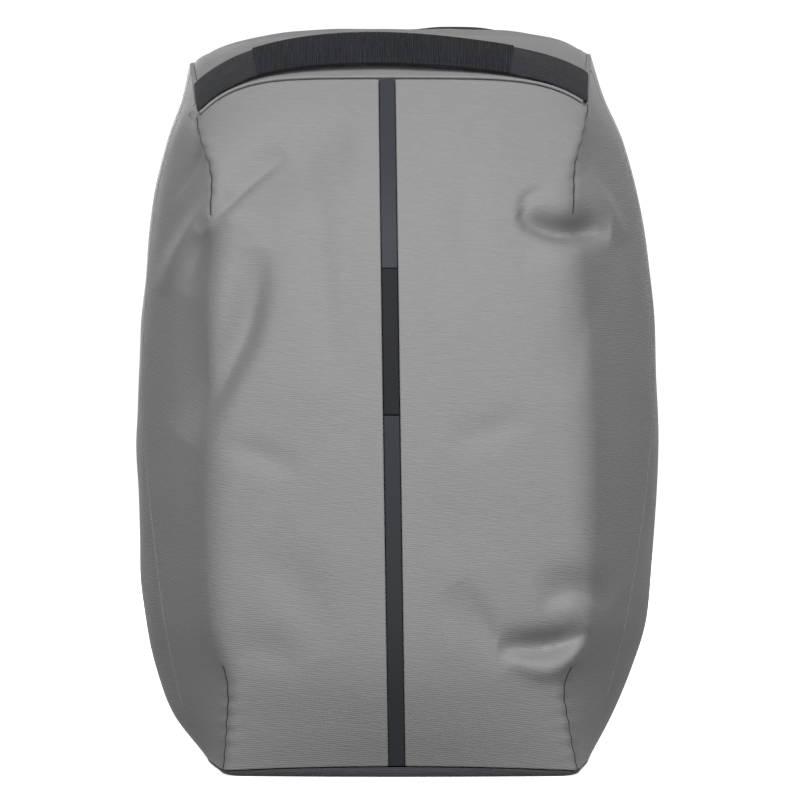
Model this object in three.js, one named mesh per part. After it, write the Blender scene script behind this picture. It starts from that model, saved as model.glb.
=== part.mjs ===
// A soft laptop backpack with no zip in its front, standing on its base.
// Millimetres, +Z up. The front faces -Y, and +X is on the right of someone who looks at the front.
// The cloth walls are thin shells around one hollow compartment, which the padded back panel closes.
import * as THREE from "three";

// Driving sizes of the bag
const HEIGHT = 440; // ground to the top of the back edge
const TOP_CLIMB = 37.5; // how much higher the back edge is than the middle of the top seam
const FRONT_HEIGHT = HEIGHT - TOP_CLIMB;
const WIDTH = 310; // across the fullest part of the sides
const DEPTH = 184; // back edge to the fullest part of the front
const WALL = 2; // padded polyester cloth
const GAP = 0.3; // between sewn pieces that meet

// The front and its darts
const DART_DEPTH = 3.5;
const DART_HALF_WIDTH = 5;
const TOP_DART = { tip: 0.785, end: 1 }; // shares of the wall's height
const BOTTOM_DART = { tip: 0.15, end: 0 };
const SIDE_FULLNESS = 0.9; // how roundly the side meets its widest point

// The back edge
const ROLL_DROP = 12; // how far the gusset turns in towards the back panel
const ROLL_TURN = Math.PI / 3;
const ZIP_WIDTH = 4;
const ZIP_THICKNESS = 2.4;
const ZIP_RECESS = 0.6;

// The top, which arches down to its corners
const CORNER_DROP = {
  left: { front: 26, back: 21 },
  right: { front: 18, back: 16 },
};
const DROP_FADE = 8; // how quickly the drop fades down the wall, and the dip up it
const CORNER_DROP_POWER = {
  left: { front: 5.5, back: 2.7 }, // how late the drop starts on the way to a corner
  right: { front: 5.5, back: 4.5 },
};
const TOP_STEEPNESS = 2.7; // how much steeper the top is at the front than at the back
const PIPING_RADIUS = 1.2;
const PIPING_SIDES = 8;

// The base tray
const BASE_RISE = 6; // where the cloth walls start above the ground
const BASE_DIP = 3; // how much lower the base seam is at the corners than in the middle
const BASE_FLOOR = 2;
const BASE_ROUND = { front: 3, side: 10 };
const BASE_RIM = 2;

// The centre band
const BAND_WIDTH = 9;
const BAND_THICKNESS = 1.4;
const BAND_RECESS = 0.4;
const PATCH_SHARE = { bottom: 0.508, top: 0.718 }; // of the wall's height

// The carry handle
const HANDLE_WIDTH = 29.5;
const HANDLE_THICKNESS = 2;
const HANDLE_LIFT = { front: 3.4, rear: 5.4 }; // at its middle, above the top panel
const HANDLE_FORWARD = 5; // how far its middle leans out over the top seam
const HANDLE_PEAK = 0.93; // below 1 its highest point lies left of the middle
const HANDLE_ARCH = 2.8; // above 1 its ends lie flat for longer
const HANDLE_SETBACK = { middle: 2.5, end: 2 }; // behind the top seam
const HANDLE_END = 0.012; // how far inside the top panel's sides it ends, as a share of its length
const GRIP_THICKNESS = 1.6;
const GRIP_OVERHANG = 0.6;
const GRIP_SHARE = { left: 0.17, right: 0.8 }; // of the handle's length

// The back panel and the straps
const PANEL_EDGE = 6;
const PAD_RISE = 6; // how far the pads stand out of the back panel
const PAD_ACROSS = { channel: 0.06, inner: 0.22, outer: 0.24, edge: 0.06 }; // shares of half the panel
const PAD_TALL = { bottom: 0.18, low: 0.27, high: 0.12, top: 0.04 }; // shares of its height, from each end
const STRAP_WIDTH = 62;
const STRAP_END_WIDTH = 28;
const STRAP_THICKNESS = 12;
const STRAP_CHAMFER = 3;
const STRAP_TAPER = 0.35; // share of its length after which it narrows
const WEBBING_WIDTH = 25;
const WEBBING_THICKNESS = 1.6;
const BUCKLE_WIDTH = 34;
const BUCKLE_THICKNESS = 5;
const BUCKLE_BAR = 4;
const BUCKLE_SLOT = 7;
const ANCHOR_LENGTH = 18;
const ANCHOR_THICKNESS = 3;
const WEBBING_TURN = { from: 0.1, to: 0.3 }; // shares of its length in which it turns to the buckle
const BAR_FACING = { from: 0.4, to: 0.8 }; // how squarely it faces the bag where it lies along the bar
const ANCHOR_FLARE = 2; // how much wider than the webbing its foot is, at each side
const TAIL_LENGTH = 52;
const PULL_HEIGHT = 0.5; // share of the wall's height
const PULL_LENGTH = 24;
const PULL_THICKNESS = 2;

// A short table: one list of values for each row, under the named columns.
function table(names, rows) {
  return rows.map((row) => Object.fromEntries(row.map((value, i) => [names[i], value])));
}

// Sections of the wall, from the base seam up. height is a share of the wall's height. The widths are
// shares of half of WIDTH. forward and widest are shares of DEPTH measured from the back edge, crown is
// how far the front's edges lie behind its middle as a share of DEPTH, and corner is a share of WIDTH.
const SECTIONS = table(
  ["height", "sideLeft", "sideRight", "frontLeft", "frontRight", "forward", "crown", "widest", "corner"],
  [
    [0, 0.73, 0.728, 0.648, 0.664, 0.815, 0.03, 0.3, 0.03],
    [0.06, 0.855, 0.817, 0.632, 0.632, 0.886, 0.055, 0.3, 0.038],
    [0.13, 0.927, 0.894, 0.619, 0.606, 0.94, 0.07, 0.305, 0.052],
    [0.21, 0.972, 0.948, 0.671, 0.69, 0.978, 0.076, 0.305, 0.077],
    [0.365, 0.996, 0.986, 0.684, 0.703, 1, 0.076, 0.3, 0.09],
    [0.52, 1, 0.996, 0.671, 0.69, 0.995, 0.076, 0.283, 0.097],
    [0.67, 0.976, 0.97, 0.671, 0.665, 0.957, 0.076, 0.27, 0.09],
    [0.79, 0.94, 0.925, 0.677, 0.637, 0.897, 0.076, 0.25, 0.065],
    [0.87, 0.896, 0.866, 0.692, 0.65, 0.826, 0.076, 0.228, 0.045],
    [0.935, 0.838, 0.79, 0.738, 0.692, 0.745, 0.076, 0.2, 0.03],
    [1, 0.806, 0.742, 0.76, 0.716, 0.652, 0.076, 0.16, 0.02],
  ],
);

// The middle of the front leans a little to the left on its way up: shares of half of WIDTH.
const BAND_LEAN = [
  { height: 0, x: -0.005 },
  { height: 1, x: -0.042 },
];

// How far the side seam lies inside the widest point, as seen from the front: a share of WIDTH.
const SIDE_SEAM = [
  { height: 0, inset: 0.018 },
  { height: 0.07, inset: 0.033 },
  { height: 0.175, inset: 0.047 },
  { height: 0.29, inset: 0.04 },
  { height: 0.4, inset: 0.027 },
  { height: 0.5, inset: 0.017 },
  { height: 0.62, inset: 0.01 },
  { height: 1, inset: 0.007 },
];

// Folds and dents of the cloth as seen from the front, each a soft groove between two points. x is a
// share of half of WIDTH, z a share of the wall's height, and radius and depth are shares of WIDTH. A
// depth below 0 is a ridge.
const FOLDS = [
  { name: "left crease", x1: -0.5, z1: 0.665, x2: -0.655, z2: 0.5, radius: 0.03, depth: 0.02 },
  { name: "left upper facet", x1: -0.61, z1: 0.72, x2: -0.66, z2: 0.6, radius: 0.085, depth: 0.018 },
  { name: "left upper valley", x1: -0.38, z1: 0.81, x2: -0.26, z2: 0.6, radius: 0.032, depth: 0.011 },
  { name: "left dart ridge", x1: -0.7, z1: 0.83, x2: -0.93, z2: 0.67, radius: 0.024, depth: -0.01 },
  { name: "left middle dent", x1: -0.54, z1: 0.465, x2: -0.41, z2: 0.435, radius: 0.024, depth: 0.005 },
  { name: "left low hollow", x1: -0.44, z1: 0.3, x2: -0.36, z2: 0.29, radius: 0.06, depth: 0.006 },
  { name: "right upper valley", x1: 0.31, z1: 0.82, x2: 0.28, z2: 0.76, radius: 0.03, depth: 0.009 },
  { name: "right dart hollow", x1: 0.48, z1: 0.79, x2: 0.73, z2: 0.765, radius: 0.03, depth: 0.03 },
  { name: "right dart roll", x1: 0.5, z1: 0.735, x2: 0.76, z2: 0.71, radius: 0.035, depth: -0.008 },
  { name: "right middle dent", x1: 0.26, z1: 0.475, x2: 0.41, z2: 0.488, radius: 0.026, depth: 0.004 },
  { name: "right low hollow", x1: 0.44, z1: 0.195, x2: 0.66, z2: 0.195, radius: 0.028, depth: 0.028 },
  { name: "right low roll", x1: 0.4, z1: 0.15, x2: 0.62, z2: 0.15, radius: 0.026, depth: -0.012 },
  { name: "right low dent", x1: 0.56, z1: 0.245, x2: 0.7, z2: 0.268, radius: 0.024, depth: 0.011 },
  { name: "right low valley", x1: 0.23, z1: 0.225, x2: 0.36, z2: 0.145, radius: 0.028, depth: 0.01 },
];
const FOLD_CLEAR_OF_BAND = { none: 8, full: 30 }; // from the middle of the band
const FOLD_CLEAR_OF_SEAM = 0.12; // share of the panel's width and height

// The shoulder straps' middle lines. x is a share of half of WIDTH, z of HEIGHT, and out is how far the
// strap's inner face stands off the back panel, as a share of DEPTH.
const STRAP_LINES = {
  left: [
    { x: -0.24, out: 0.002, z: 0.915 },
    { x: -0.28, out: 0.11, z: 0.83 },
    { x: -0.38, out: 0.2, z: 0.68 },
    { x: -0.55, out: 0.22, z: 0.5 },
    { x: -0.72, out: 0.14, z: 0.35 },
    { x: -0.857, out: 0.06, z: 0.245 },
  ],
  right: [
    { x: 0.24, out: 0.002, z: 0.915 },
    { x: 0.28, out: 0.11, z: 0.83 },
    { x: 0.37, out: 0.2, z: 0.68 },
    { x: 0.52, out: 0.22, z: 0.5 },
    { x: 0.67, out: 0.14, z: 0.35 },
    { x: 0.8, out: 0.06, z: 0.245 },
  ],
};
const ANCHOR_HEIGHT = 0.09; // share of HEIGHT
const ANCHOR_X = { left: 0.76, right: 0.72 }; // shares of half of WIDTH

// How finely each surface is divided
const ROWS = [
  0, 0.035, 0.07, 0.105, 0.14, 0.17, 0.2, 0.24, 0.28, 0.34, 0.4, 0.44, 0.48, 0.53, 0.58, 0.62, 0.66, 0.7,
  0.73, 0.76, 0.79, 0.82, 0.86, 0.9, 0.94, 0.97, 1,
];
const ROW_CLEAR = 0.01; // no row this close to the end of a band piece
const SLOPE_STEP = 0.01; // the step over which the top panel's slope is read
const FACE_STEPS = 9;
const CORNER_STEPS = 4;
const SIDE_STEPS = 4;
const PAST_SEAM = 1.08; // how far past the side seam the normals look, as a share of the way to it
const GUSSET_STEPS = 3;
const ROLL_STEPS = 3;
const HANDLE_STEPS = 20;
const HANDLE_COLUMNS = 3;
const BACK_COLUMNS = 10;
const PATH_STEPS = 18;
const BASE_STEPS = 3;
const BAR_TURNS = 4;
const TAIL_STEPS = 3;
const HALVINGS = 20; // of the span in which the side seam is looked for

const CLOTH = new THREE.MeshStandardMaterial({ color: 0x8b8b8b, roughness: 0.62, metalness: 0 });
const TRIM = new THREE.MeshStandardMaterial({ color: 0x34363a, roughness: 0.5, metalness: 0 });
const WEBBING = new THREE.MeshStandardMaterial({ color: 0x2c2e30, roughness: 0.85, metalness: 0 });
const LINING = new THREE.MeshStandardMaterial({ color: 0x303134, roughness: 0.9, metalness: 0 });
const PLASTIC = new THREE.MeshStandardMaterial({ color: 0x1c1d1f, roughness: 0.45, metalness: 0 });

const vec = (x, y, z) => new THREE.Vector3(x, y, z);
const steps = (count, make) => Array.from({ length: count + 1 }, (_, i) => make(i / count));
const smooth = (x, from, to) => THREE.MathUtils.smoothstep(x, from, to);
const mix = (a, b, t) => a + (b - a) * t;

// A smooth curve through one column of a table, by its height.
function column(table, name, height) {
  const last = table.length - 1;
  let i = 0;
  while (i < last - 1 && height > table[i + 1].height) i += 1;
  const slope = (k) => {
    const a = table[Math.max(k - 1, 0)];
    const b = table[Math.min(k + 1, last)];
    return (b[name] - a[name]) / (b.height - a.height);
  };
  const a = table[i];
  const b = table[i + 1];
  const span = b.height - a.height;
  const t = (height - a.height) / span;
  return (
    (2 * t ** 3 - 3 * t ** 2 + 1) * a[name] +
    (t ** 3 - 2 * t ** 2 + t) * span * slope(i) +
    (3 * t ** 2 - 2 * t ** 3) * b[name] +
    (t ** 3 - t ** 2) * span * slope(i + 1)
  );
}

// The plan of one side of the wall at a share of its height. side is -1 on the left and 1 on the right.
function plan(side, height) {
  const half = WIDTH / 2;
  const read = (name) => column(SECTIONS, name, height);
  const middle = column(BAND_LEAN, "x", height) * half;
  const widestX = side * read(side < 0 ? "sideLeft" : "sideRight") * half;
  const edgeX = side * read(side < 0 ? "frontLeft" : "frontRight") * half;
  const forward = read("forward") * DEPTH;
  const widestY = -read("widest") * DEPTH;
  const radius = read("corner") * WIDTH;
  const reach = Math.abs(edgeX - middle);
  const crown = read("crown") * DEPTH;
  const crownAt = (x) => -forward + crown * Math.min(Math.abs(x - middle) / reach, 1) ** 2;
  const faceEnd = new THREE.Vector2(edgeX - side * radius, crownAt(edgeX - side * radius));
  const slope = (2 * crown * (reach - radius)) / reach ** 2;
  const knee = new THREE.Vector2(edgeX, faceEnd.y + slope * radius);
  const widest = new THREE.Vector2(widestX, widestY);
  const sideWay = widest.clone().sub(knee).normalize();
  const sideStart = knee.clone().addScaledVector(sideWay, radius);
  return { side, height, middle, reach, crownAt, faceEnd, knee, sideStart, sideWay, widest };
}

// The curve of the plan's side, from the front corner to the widest point.
function sideCurve(p) {
  const length = p.widest.distanceTo(p.sideStart) * SIDE_FULLNESS;
  const first = p.sideStart.clone().addScaledVector(p.sideWay, length / 3);
  const second = p.widest.clone().add(new THREE.Vector2(0, -length / 3));
  return new THREE.CubicBezierCurve(p.sideStart, first, second, p.widest);
}

// A point of that plan. zone is face, corner, side or roll, and t runs from 0 to 1 on the way to the back.
function planPoint(p, zone, t) {
  if (zone === "face") {
    const from = p.middle + p.side * (BAND_WIDTH / 2 + GAP);
    const x = mix(from, p.faceEnd.x, t);
    return new THREE.Vector2(x, p.crownAt(x));
  }
  if (zone === "corner") {
    return new THREE.QuadraticBezierCurve(p.faceEnd, p.knee, p.sideStart).getPoint(t);
  }
  if (zone === "side") return sideCurve(p).getPoint(t);
  const across = ROLL_DROP / (1 - Math.cos(ROLL_TURN));
  const along = (-ZIP_WIDTH - p.widest.y) / Math.sin(ROLL_TURN);
  const turn = ROLL_TURN * t;
  return new THREE.Vector2(
    p.widest.x - p.side * across * (1 - Math.cos(turn)),
    p.widest.y + along * Math.sin(turn),
  );
}

// The height of a point of the wall or of its edges, by its place in plan. Near the top the wall climbs
// from the front to the back, and its corners drop. Near the base the corners dip.
function rise(p, x, y) {
  const front = p.crownAt(x);
  const back = THREE.MathUtils.clamp((y - front) / -front, 0, 1);
  const climb = TOP_CLIMB * p.height ** 3 * (1 - (1 - back) ** TOP_STEEPNESS);
  const edge = mix(p.reach, Math.abs(p.widest.x - p.middle), back);
  const half = x < p.middle ? "left" : "right";
  const power = CORNER_DROP_POWER[half];
  const outwards = Math.min(Math.abs(x - p.middle) / edge, 1) ** mix(power.front, power.back, back);
  const deepest = CORNER_DROP[half];
  const drop = mix(deepest.front, deepest.back, back) * p.height ** DROP_FADE * outwards;
  const ends = Math.min(Math.abs(x - p.middle) / p.reach, 1);
  const dip = BASE_DIP * (1 - p.height) ** DROP_FADE * ends ** 2;
  return BASE_RISE + (FRONT_HEIGHT - BASE_RISE) * p.height + climb - drop - dip;
}

function wallPoint(side, height, zone, t) {
  const p = plan(side, height);
  const at = planPoint(p, zone, t);
  return vec(at.x, at.y, rise(p, at.x, at.y));
}

// The edge of a panel beside the side seam, half a gap before it, -1, or past it, 1.
function seamEdge(side, height, way) {
  const p = plan(side, height);
  const curve = sideCurve(p);
  const inset = column(SIDE_SEAM, "inset", height) * WIDTH;
  let [before, after] = [0, 1];
  for (let i = 0; i < HALVINGS; i++) {
    const middle = (before + after) / 2;
    if (Math.abs(p.widest.x - curve.getPoint(middle).x) > inset) before = middle;
    else after = middle;
  }
  return before + (way * GAP) / 2 / curve.getLength();
}

// Outward directions of a grid of points. turn is 1 where columns then rows turn to the outside, and -1
// if not.
function normals(grid, turn) {
  const last = grid.length - 1;
  const end = grid[0].length - 1;
  return grid.map((row, i) =>
    row.map((_, j) => {
      const across = grid[i][Math.min(j + 1, end)].clone().sub(grid[i][Math.max(j - 1, 0)]);
      const up = grid[Math.min(i + 1, last)][j].clone().sub(grid[Math.max(i - 1, 0)][j]);
      return across.cross(up).normalize().multiplyScalar(turn);
    }),
  );
}

// A grid moved along its directions, by one distance or by a function of the row and column.
function shifted(grid, directions, distance) {
  const far = typeof distance === "function" ? distance : () => distance;
  return grid.map((row, i) => row.map((p, j) => p.clone().addScaledVector(directions[i][j], far(i, j))));
}

// A closed geometry with its faces turned outwards.
function closed(points, triangles) {
  const at = (k) => points[k];
  let volume = 0;
  for (const [a, b, c] of triangles) volume += at(a).dot(at(b).clone().cross(at(c)));
  const facing = volume > 0 ? triangles : triangles.map(([a, b, c]) => [a, c, b]);
  const geometry = new THREE.BufferGeometry().setFromPoints(points);
  geometry.setIndex(facing.flat());
  geometry.computeVertexNormals();
  return geometry;
}

// The closed sheet between two grids with the same rows and columns.
function sheet(outer, inner) {
  const rows = outer.length;
  const columns = outer[0].length;
  const points = [...outer.flat(), ...inner.flat()];
  const out = (i, j) => i * columns + j;
  const inn = (i, j) => rows * columns + i * columns + j;
  const triangles = [];
  const quad = (a, b, c, d) => triangles.push([a, b, c], [a, c, d]);
  for (let i = 0; i < rows - 1; i++) {
    for (let j = 0; j < columns - 1; j++) {
      quad(out(i, j), out(i, j + 1), out(i + 1, j + 1), out(i + 1, j));
      quad(inn(i, j), inn(i + 1, j), inn(i + 1, j + 1), inn(i, j + 1));
    }
    quad(out(i, 0), out(i + 1, 0), inn(i + 1, 0), inn(i, 0));
    quad(out(i + 1, columns - 1), out(i, columns - 1), inn(i, columns - 1), inn(i + 1, columns - 1));
  }
  for (let j = 0; j < columns - 1; j++) {
    quad(out(0, j + 1), out(0, j), inn(0, j), inn(0, j + 1));
    quad(out(rows - 1, j), out(rows - 1, j + 1), inn(rows - 1, j + 1), inn(rows - 1, j));
  }
  return closed(points, triangles);
}

// A closed solid through loops with the same number of points. It is capped at both ends, or joined into
// a ring.
function stack(loops, ring = false) {
  const count = loops[0].length;
  const points = loops.flat();
  const triangles = [];
  const turns = ring ? loops.length : loops.length - 1;
  for (let i = 0; i < turns; i++) {
    const next = (i + 1) % loops.length;
    for (let j = 0; j < count; j++) {
      const k = (j + 1) % count;
      triangles.push([i * count + j, i * count + k, next * count + k]);
      triangles.push([i * count + j, next * count + k, next * count + j]);
    }
  }
  if (!ring) {
    const cap = (i, flip) => {
      const centre = loops[i].reduce((sum, point) => sum.add(point), vec(0, 0, 0)).divideScalar(count);
      points.push(centre);
      for (let j = 0; j < count; j++) {
        const pair = [i * count + j, i * count + ((j + 1) % count)];
        triangles.push([points.length - 1, ...(flip ? pair.reverse() : pair)]);
      }
    };
    cap(0, true);
    cap(loops.length - 1, false);
  }
  return closed(points, triangles);
}

// A loop moved inwards by a distance in the plane of two of its axes, with mitred corners.
function inset(loop, distance, a = "x", b = "y") {
  const centre = loop.reduce((sum, point) => sum.add(point), vec(0, 0, 0)).divideScalar(loop.length);
  return loop.map((point, i) => {
    const before = loop[(i + loop.length - 1) % loop.length];
    const after = loop[(i + 1) % loop.length];
    const way = (p, q) => {
      const step = [q[a] - p[a], q[b] - p[b]];
      const length = Math.hypot(...step);
      return [-step[1] / length, step[0] / length];
    };
    const [first, second] = [way(before, point), way(point, after)];
    const sum = [first[0] + second[0], first[1] + second[1]];
    const scale = distance / (1 + first[0] * second[0] + first[1] * second[1]);
    const towards = sum[0] * (centre[a] - point[a]) + sum[1] * (centre[b] - point[b]);
    const moved = point.clone();
    moved[a] += sum[0] * scale * Math.sign(towards);
    moved[b] += sum[1] * scale * Math.sign(towards);
    return moved;
  });
}

// How far the folds press the cloth in at a point of the front, before the edges fade it out.
function foldDepth(x, z) {
  const half = WIDTH / 2;
  const tall = FRONT_HEIGHT - BASE_RISE;
  let depth = 0;
  for (const fold of FOLDS) {
    const from = new THREE.Vector2(fold.x1 * half, BASE_RISE + fold.z1 * tall);
    const to = new THREE.Vector2(fold.x2 * half, BASE_RISE + fold.z2 * tall);
    const along = to.clone().sub(from);
    const at = new THREE.Vector2(x, z).sub(from);
    const share = THREE.MathUtils.clamp(at.dot(along) / along.lengthSq(), 0, 1);
    const away = at.distanceTo(along.multiplyScalar(share));
    depth += fold.depth * WIDTH * Math.exp(-((away / (fold.radius * WIDTH)) ** 2));
  }
  return depth;
}

// How deep a dart is at a height: nothing at its tip and at its sewn end, and most between them.
function dartDepth(dart, height) {
  const share = (height - dart.tip) / (dart.end - dart.tip);
  return share <= 0 || share >= 1 ? 0 : DART_DEPTH * Math.sin(Math.PI * share);
}

// The grid of a front panel, from the centre band round the front edge to the side seam.
function frontGrid(side) {
  const places = [
    ...steps(FACE_STEPS, (t) => ["face", t]),
    ...steps(CORNER_STEPS, (t) => ["corner", t]).slice(1),
    ...steps(SIDE_STEPS, (t) => ["side", t]).slice(1),
    ["side", PAST_SEAM],
  ];
  const plain = ROWS.map((height) => {
    const seam = seamEdge(side, height, -1);
    return places.map(([zone, t]) => wallPoint(side, height, zone, zone === "side" ? t * seam : t));
  });
  const cornerMiddle = FACE_STEPS + CORNER_STEPS / 2;
  const across = places.length - 2;
  const inward = (i, j) => {
    const point = plain[i][j];
    const clear = Math.abs(point.x - plan(side, ROWS[i]).middle);
    const fade =
      smooth(clear, FOLD_CLEAR_OF_BAND.none, FOLD_CLEAR_OF_BAND.full) *
      smooth(1 - j / across, 0, FOLD_CLEAR_OF_SEAM) *
      smooth(ROWS[i], 0, FOLD_CLEAR_OF_SEAM) *
      smooth(1 - ROWS[i], 0, FOLD_CLEAR_OF_SEAM);
    const fromDart = point.distanceTo(plain[i][cornerMiddle]) / DART_HALF_WIDTH;
    const dart = dartDepth(TOP_DART, ROWS[i]) + dartDepth(BOTTOM_DART, ROWS[i]);
    return -(foldDepth(point.x, point.z) * fade + dart * Math.exp(-(fromDart ** 2)));
  };
  return shifted(plain, normals(plain, side), inward);
}

// The sheet of a grid that runs on past the side seam, so that both panels there end along one direction.
function seamedSheet(grid, side, first, last) {
  const cut = (rows) => rows.map((row) => row.slice(first, last));
  return sheet(cut(grid), cut(shifted(grid, normals(grid, side), -WALL)));
}

const frontPanel = (side) => seamedSheet(frontGrid(side), side, 0, -1);

// The strip from the side seam to the back edge.
function gusset(side) {
  const grid = ROWS.map((height) => {
    const seam = seamEdge(side, height, 1);
    return [
      wallPoint(side, height, "side", seam * (2 - PAST_SEAM)),
      ...steps(GUSSET_STEPS, (t) => wallPoint(side, height, "side", mix(seam, 1, t))),
      ...steps(ROLL_STEPS, (t) => wallPoint(side, height, "roll", t)).slice(1),
    ];
  });
  return seamedSheet(grid, side, 1);
}

// One length of the centre band, between two shares of the wall's height.
function bandPiece(from, to, recess) {
  const gap = GAP / 2 / (FRONT_HEIGHT - BASE_RISE);
  const heights = [from + gap, ...ROWS.filter((h) => h > from + ROW_CLEAR && h < to - ROW_CLEAR), to - gap];
  const face = heights.map((height) => {
    const p = plan(1, height);
    return steps(2, (t) => {
      const x = p.middle + mix(-BAND_WIDTH / 2, BAND_WIDTH / 2, t);
      const y = p.crownAt(x);
      return vec(x, y, rise(p, x, y));
    });
  });
  const out = normals(face, 1);
  return sheet(shifted(face, out, -recess), shifted(face, out, -recess - BAND_THICKNESS));
}

// The edge of the wall on one side at a share of its height, from the band to the back.
function wallEdge(side, height) {
  return [
    ...steps(FACE_STEPS, (t) => wallPoint(side, height, "face", t)),
    ...steps(CORNER_STEPS, (t) => wallPoint(side, height, "corner", t)).slice(1),
    ...steps(SIDE_STEPS, (t) => wallPoint(side, height, "side", t)).slice(1),
    ...steps(ROLL_STEPS, (t) => wallPoint(side, height, "roll", t)).slice(1),
  ];
}

// The back edge of the bag at a height, from the left corner to the right one. Its y is left at 0.
function backLine(height, count) {
  const plans = [plan(-1, height), plan(1, height)];
  const [left, right] = plans.map((p) => planPoint(p, "roll", 1).x);
  return steps(count, (t) => {
    const x = mix(left, right, t);
    return vec(x, 0, rise(x < plans[0].middle ? plans[0] : plans[1], x, -ZIP_WIDTH));
  });
}

// A point at a share of a polyline's length.
function along(line, share) {
  const path = new THREE.CurvePath();
  for (let i = 1; i < line.length; i++) path.add(new THREE.LineCurve3(line[i - 1], line[i]));
  return path.getPoint(THREE.MathUtils.clamp(share, 0, 1));
}

// The four edges of the top panel: front and back run left to right, and the sides run from front to back.
function topEdges() {
  const [left, right] = [wallEdge(-1, 1), wallEdge(1, 1)];
  const cornerAt = FACE_STEPS + CORNER_STEPS / 2;
  const width = 2 * cornerAt + 1;
  const clearance = WALL + GAP;
  const back = backLine(1, width)
    .slice(1, -1)
    .reverse()
    .map((p) => p.setY(-ZIP_WIDTH + clearance));
  const seamPoints = left.length - 1;
  const corners = [left, right].map((edge) => {
    const [before, last] = edge.slice(-2);
    const step = last.clone().sub(before);
    return last.clone().addScaledVector(step.divideScalar(step.y), clearance).setZ(last.z);
  });
  left[seamPoints] = corners[0];
  right[seamPoints] = corners[1];
  const loop = inset([...left.slice().reverse(), ...right, ...back], clearance);
  const leftSide = loop.slice(0, seamPoints - cornerAt + 1).reverse();
  const front = loop.slice(seamPoints - cornerAt, seamPoints + cornerAt + 2);
  const rightSide = loop.slice(seamPoints + cornerAt + 1, 2 * seamPoints + 2);
  const inner = loop.slice(2 * seamPoints + 2).reverse();
  const rear = [leftSide[leftSide.length - 1], ...inner, rightSide[rightSide.length - 1]];
  return { front, rear, leftSide, rightSide };
}

const TOP_EDGES = topEdges();

// A point of the top panel's outer face: s runs from left to right, and t from the top seam to the back.
function topPoint(s, t) {
  const { front, rear, leftSide, rightSide } = TOP_EDGES;
  const [f, r] = [along(front, s), along(rear, s)];
  const [a, b] = [along(leftSide, t), along(rightSide, t)];
  const ends = (line, axis) => mix(line[0][axis], line[line.length - 1][axis], s);
  const blend = (axis) =>
    mix(f[axis], r[axis], t) + mix(a[axis], b[axis], s) - mix(ends(front, axis), ends(rear, axis), t);
  return vec(blend("x"), blend("y"), blend("z"));
}

function topPanel() {
  const { front, leftSide } = TOP_EDGES;
  const outer = steps(leftSide.length - 1, (t) => steps(front.length - 1, (s) => topPoint(s, t)));
  const out = normals(outer, 1);
  out[out.length - 1].forEach((direction) => direction.setY(0).normalize());
  return sheet(outer, shifted(outer, out, -WALL));
}

// A tube of round section along a curve.
function tube(curve, radius, sides, count) {
  const round = new THREE.Shape(
    Array.from({ length: sides }, (_, i) => {
      const turn = (2 * Math.PI * i) / sides;
      return new THREE.Vector2(radius * Math.cos(turn), radius * Math.sin(turn));
    }),
  );
  return new THREE.ExtrudeGeometry(round, { extrudePath: curve, steps: count, curveSegments: 1 });
}

// The rolled edge that stands on the top seam, between the front corners.
function piping() {
  const cornerAt = FACE_STEPS + CORNER_STEPS / 2;
  const line = [...wallEdge(-1, 1).slice(0, cornerAt).reverse(), ...wallEdge(1, 1).slice(0, cornerAt)];
  const seat = line.map((p) => vec(p.x, p.y + PIPING_RADIUS / 2, p.z + GAP + PIPING_RADIUS));
  return tube(new THREE.CatmullRomCurve3(seat), PIPING_RADIUS, PIPING_SIDES, 3 * FACE_STEPS);
}

// The base tray: a flat floor with a low rim that the walls stand on, and the back panel too.
function basePanel() {
  const edge = [...wallEdge(-1, 0).reverse(), ...wallEdge(1, 0)];
  const [first, last] = [edge[0], edge[edge.length - 1]];
  const back = backLine(0, BACK_COLUMNS)
    .reverse()
    .map((p, i) => vec(mix(last.x, first.x, i / BACK_COLUMNS), PANEL_EDGE + GAP, p.z));
  const outline = [...edge, ...back];
  const widest = Math.max(...outline.map((p) => Math.abs(p.x)));
  const rounded = steps(BASE_STEPS, (t) => {
    const share = 1 - Math.sin((Math.PI / 2) * t);
    const narrower = 1 - ((BASE_ROUND.side - BASE_ROUND.front) * share) / widest;
    const level = 1 - Math.cos((Math.PI / 2) * t);
    return inset(outline, BASE_ROUND.front * share).map((p) => vec(p.x * narrower, p.y, (p.z - GAP) * level));
  });
  const rim = inset(outline, BASE_RIM).map((p) => p.setZ(p.z - GAP));
  return stack([...rounded, rim, rim.map((p) => p.clone().setZ(BASE_FLOOR))]);
}

// The grid of the back edge of the bag, which the back panel fills.
function backGrid(outAt) {
  return ROWS.map((height) => {
    const line = backLine(height, BACK_COLUMNS);
    return line.map((point, j) => point.setY(outAt(j / BACK_COLUMNS, height)));
  });
}

// How far the back panel reaches back: two padded columns beside a channel, and a thin edge.
function padOut(s, height) {
  const across = Math.abs(2 * s - 1);
  const { channel, inner, outer, edge } = PAD_ACROSS;
  const { bottom, low, high, top } = PAD_TALL;
  const pad = smooth(across, channel, inner) * smooth(1 - across, edge, outer);
  const tall = smooth(height, bottom, low) * smooth(1 - height, top, high);
  return PANEL_EDGE + PAD_RISE * pad * tall;
}

function backPanel() {
  return sheet(backGrid(padOut), backGrid(() => 0));
}

// The closed outline of the back edge, from the bottom left corner up, over the top and down.
function backOutline() {
  const rows = ROWS.map((height) => backLine(height, BACK_COLUMNS));
  const left = rows.map((row) => row[0]);
  const right = rows.map((row) => row[BACK_COLUMNS]).reverse();
  const top = rows[rows.length - 1].slice(1, -1);
  const bottom = rows[0].slice(1, -1).reverse();
  return [...left, ...top, ...right, ...bottom];
}

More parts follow.
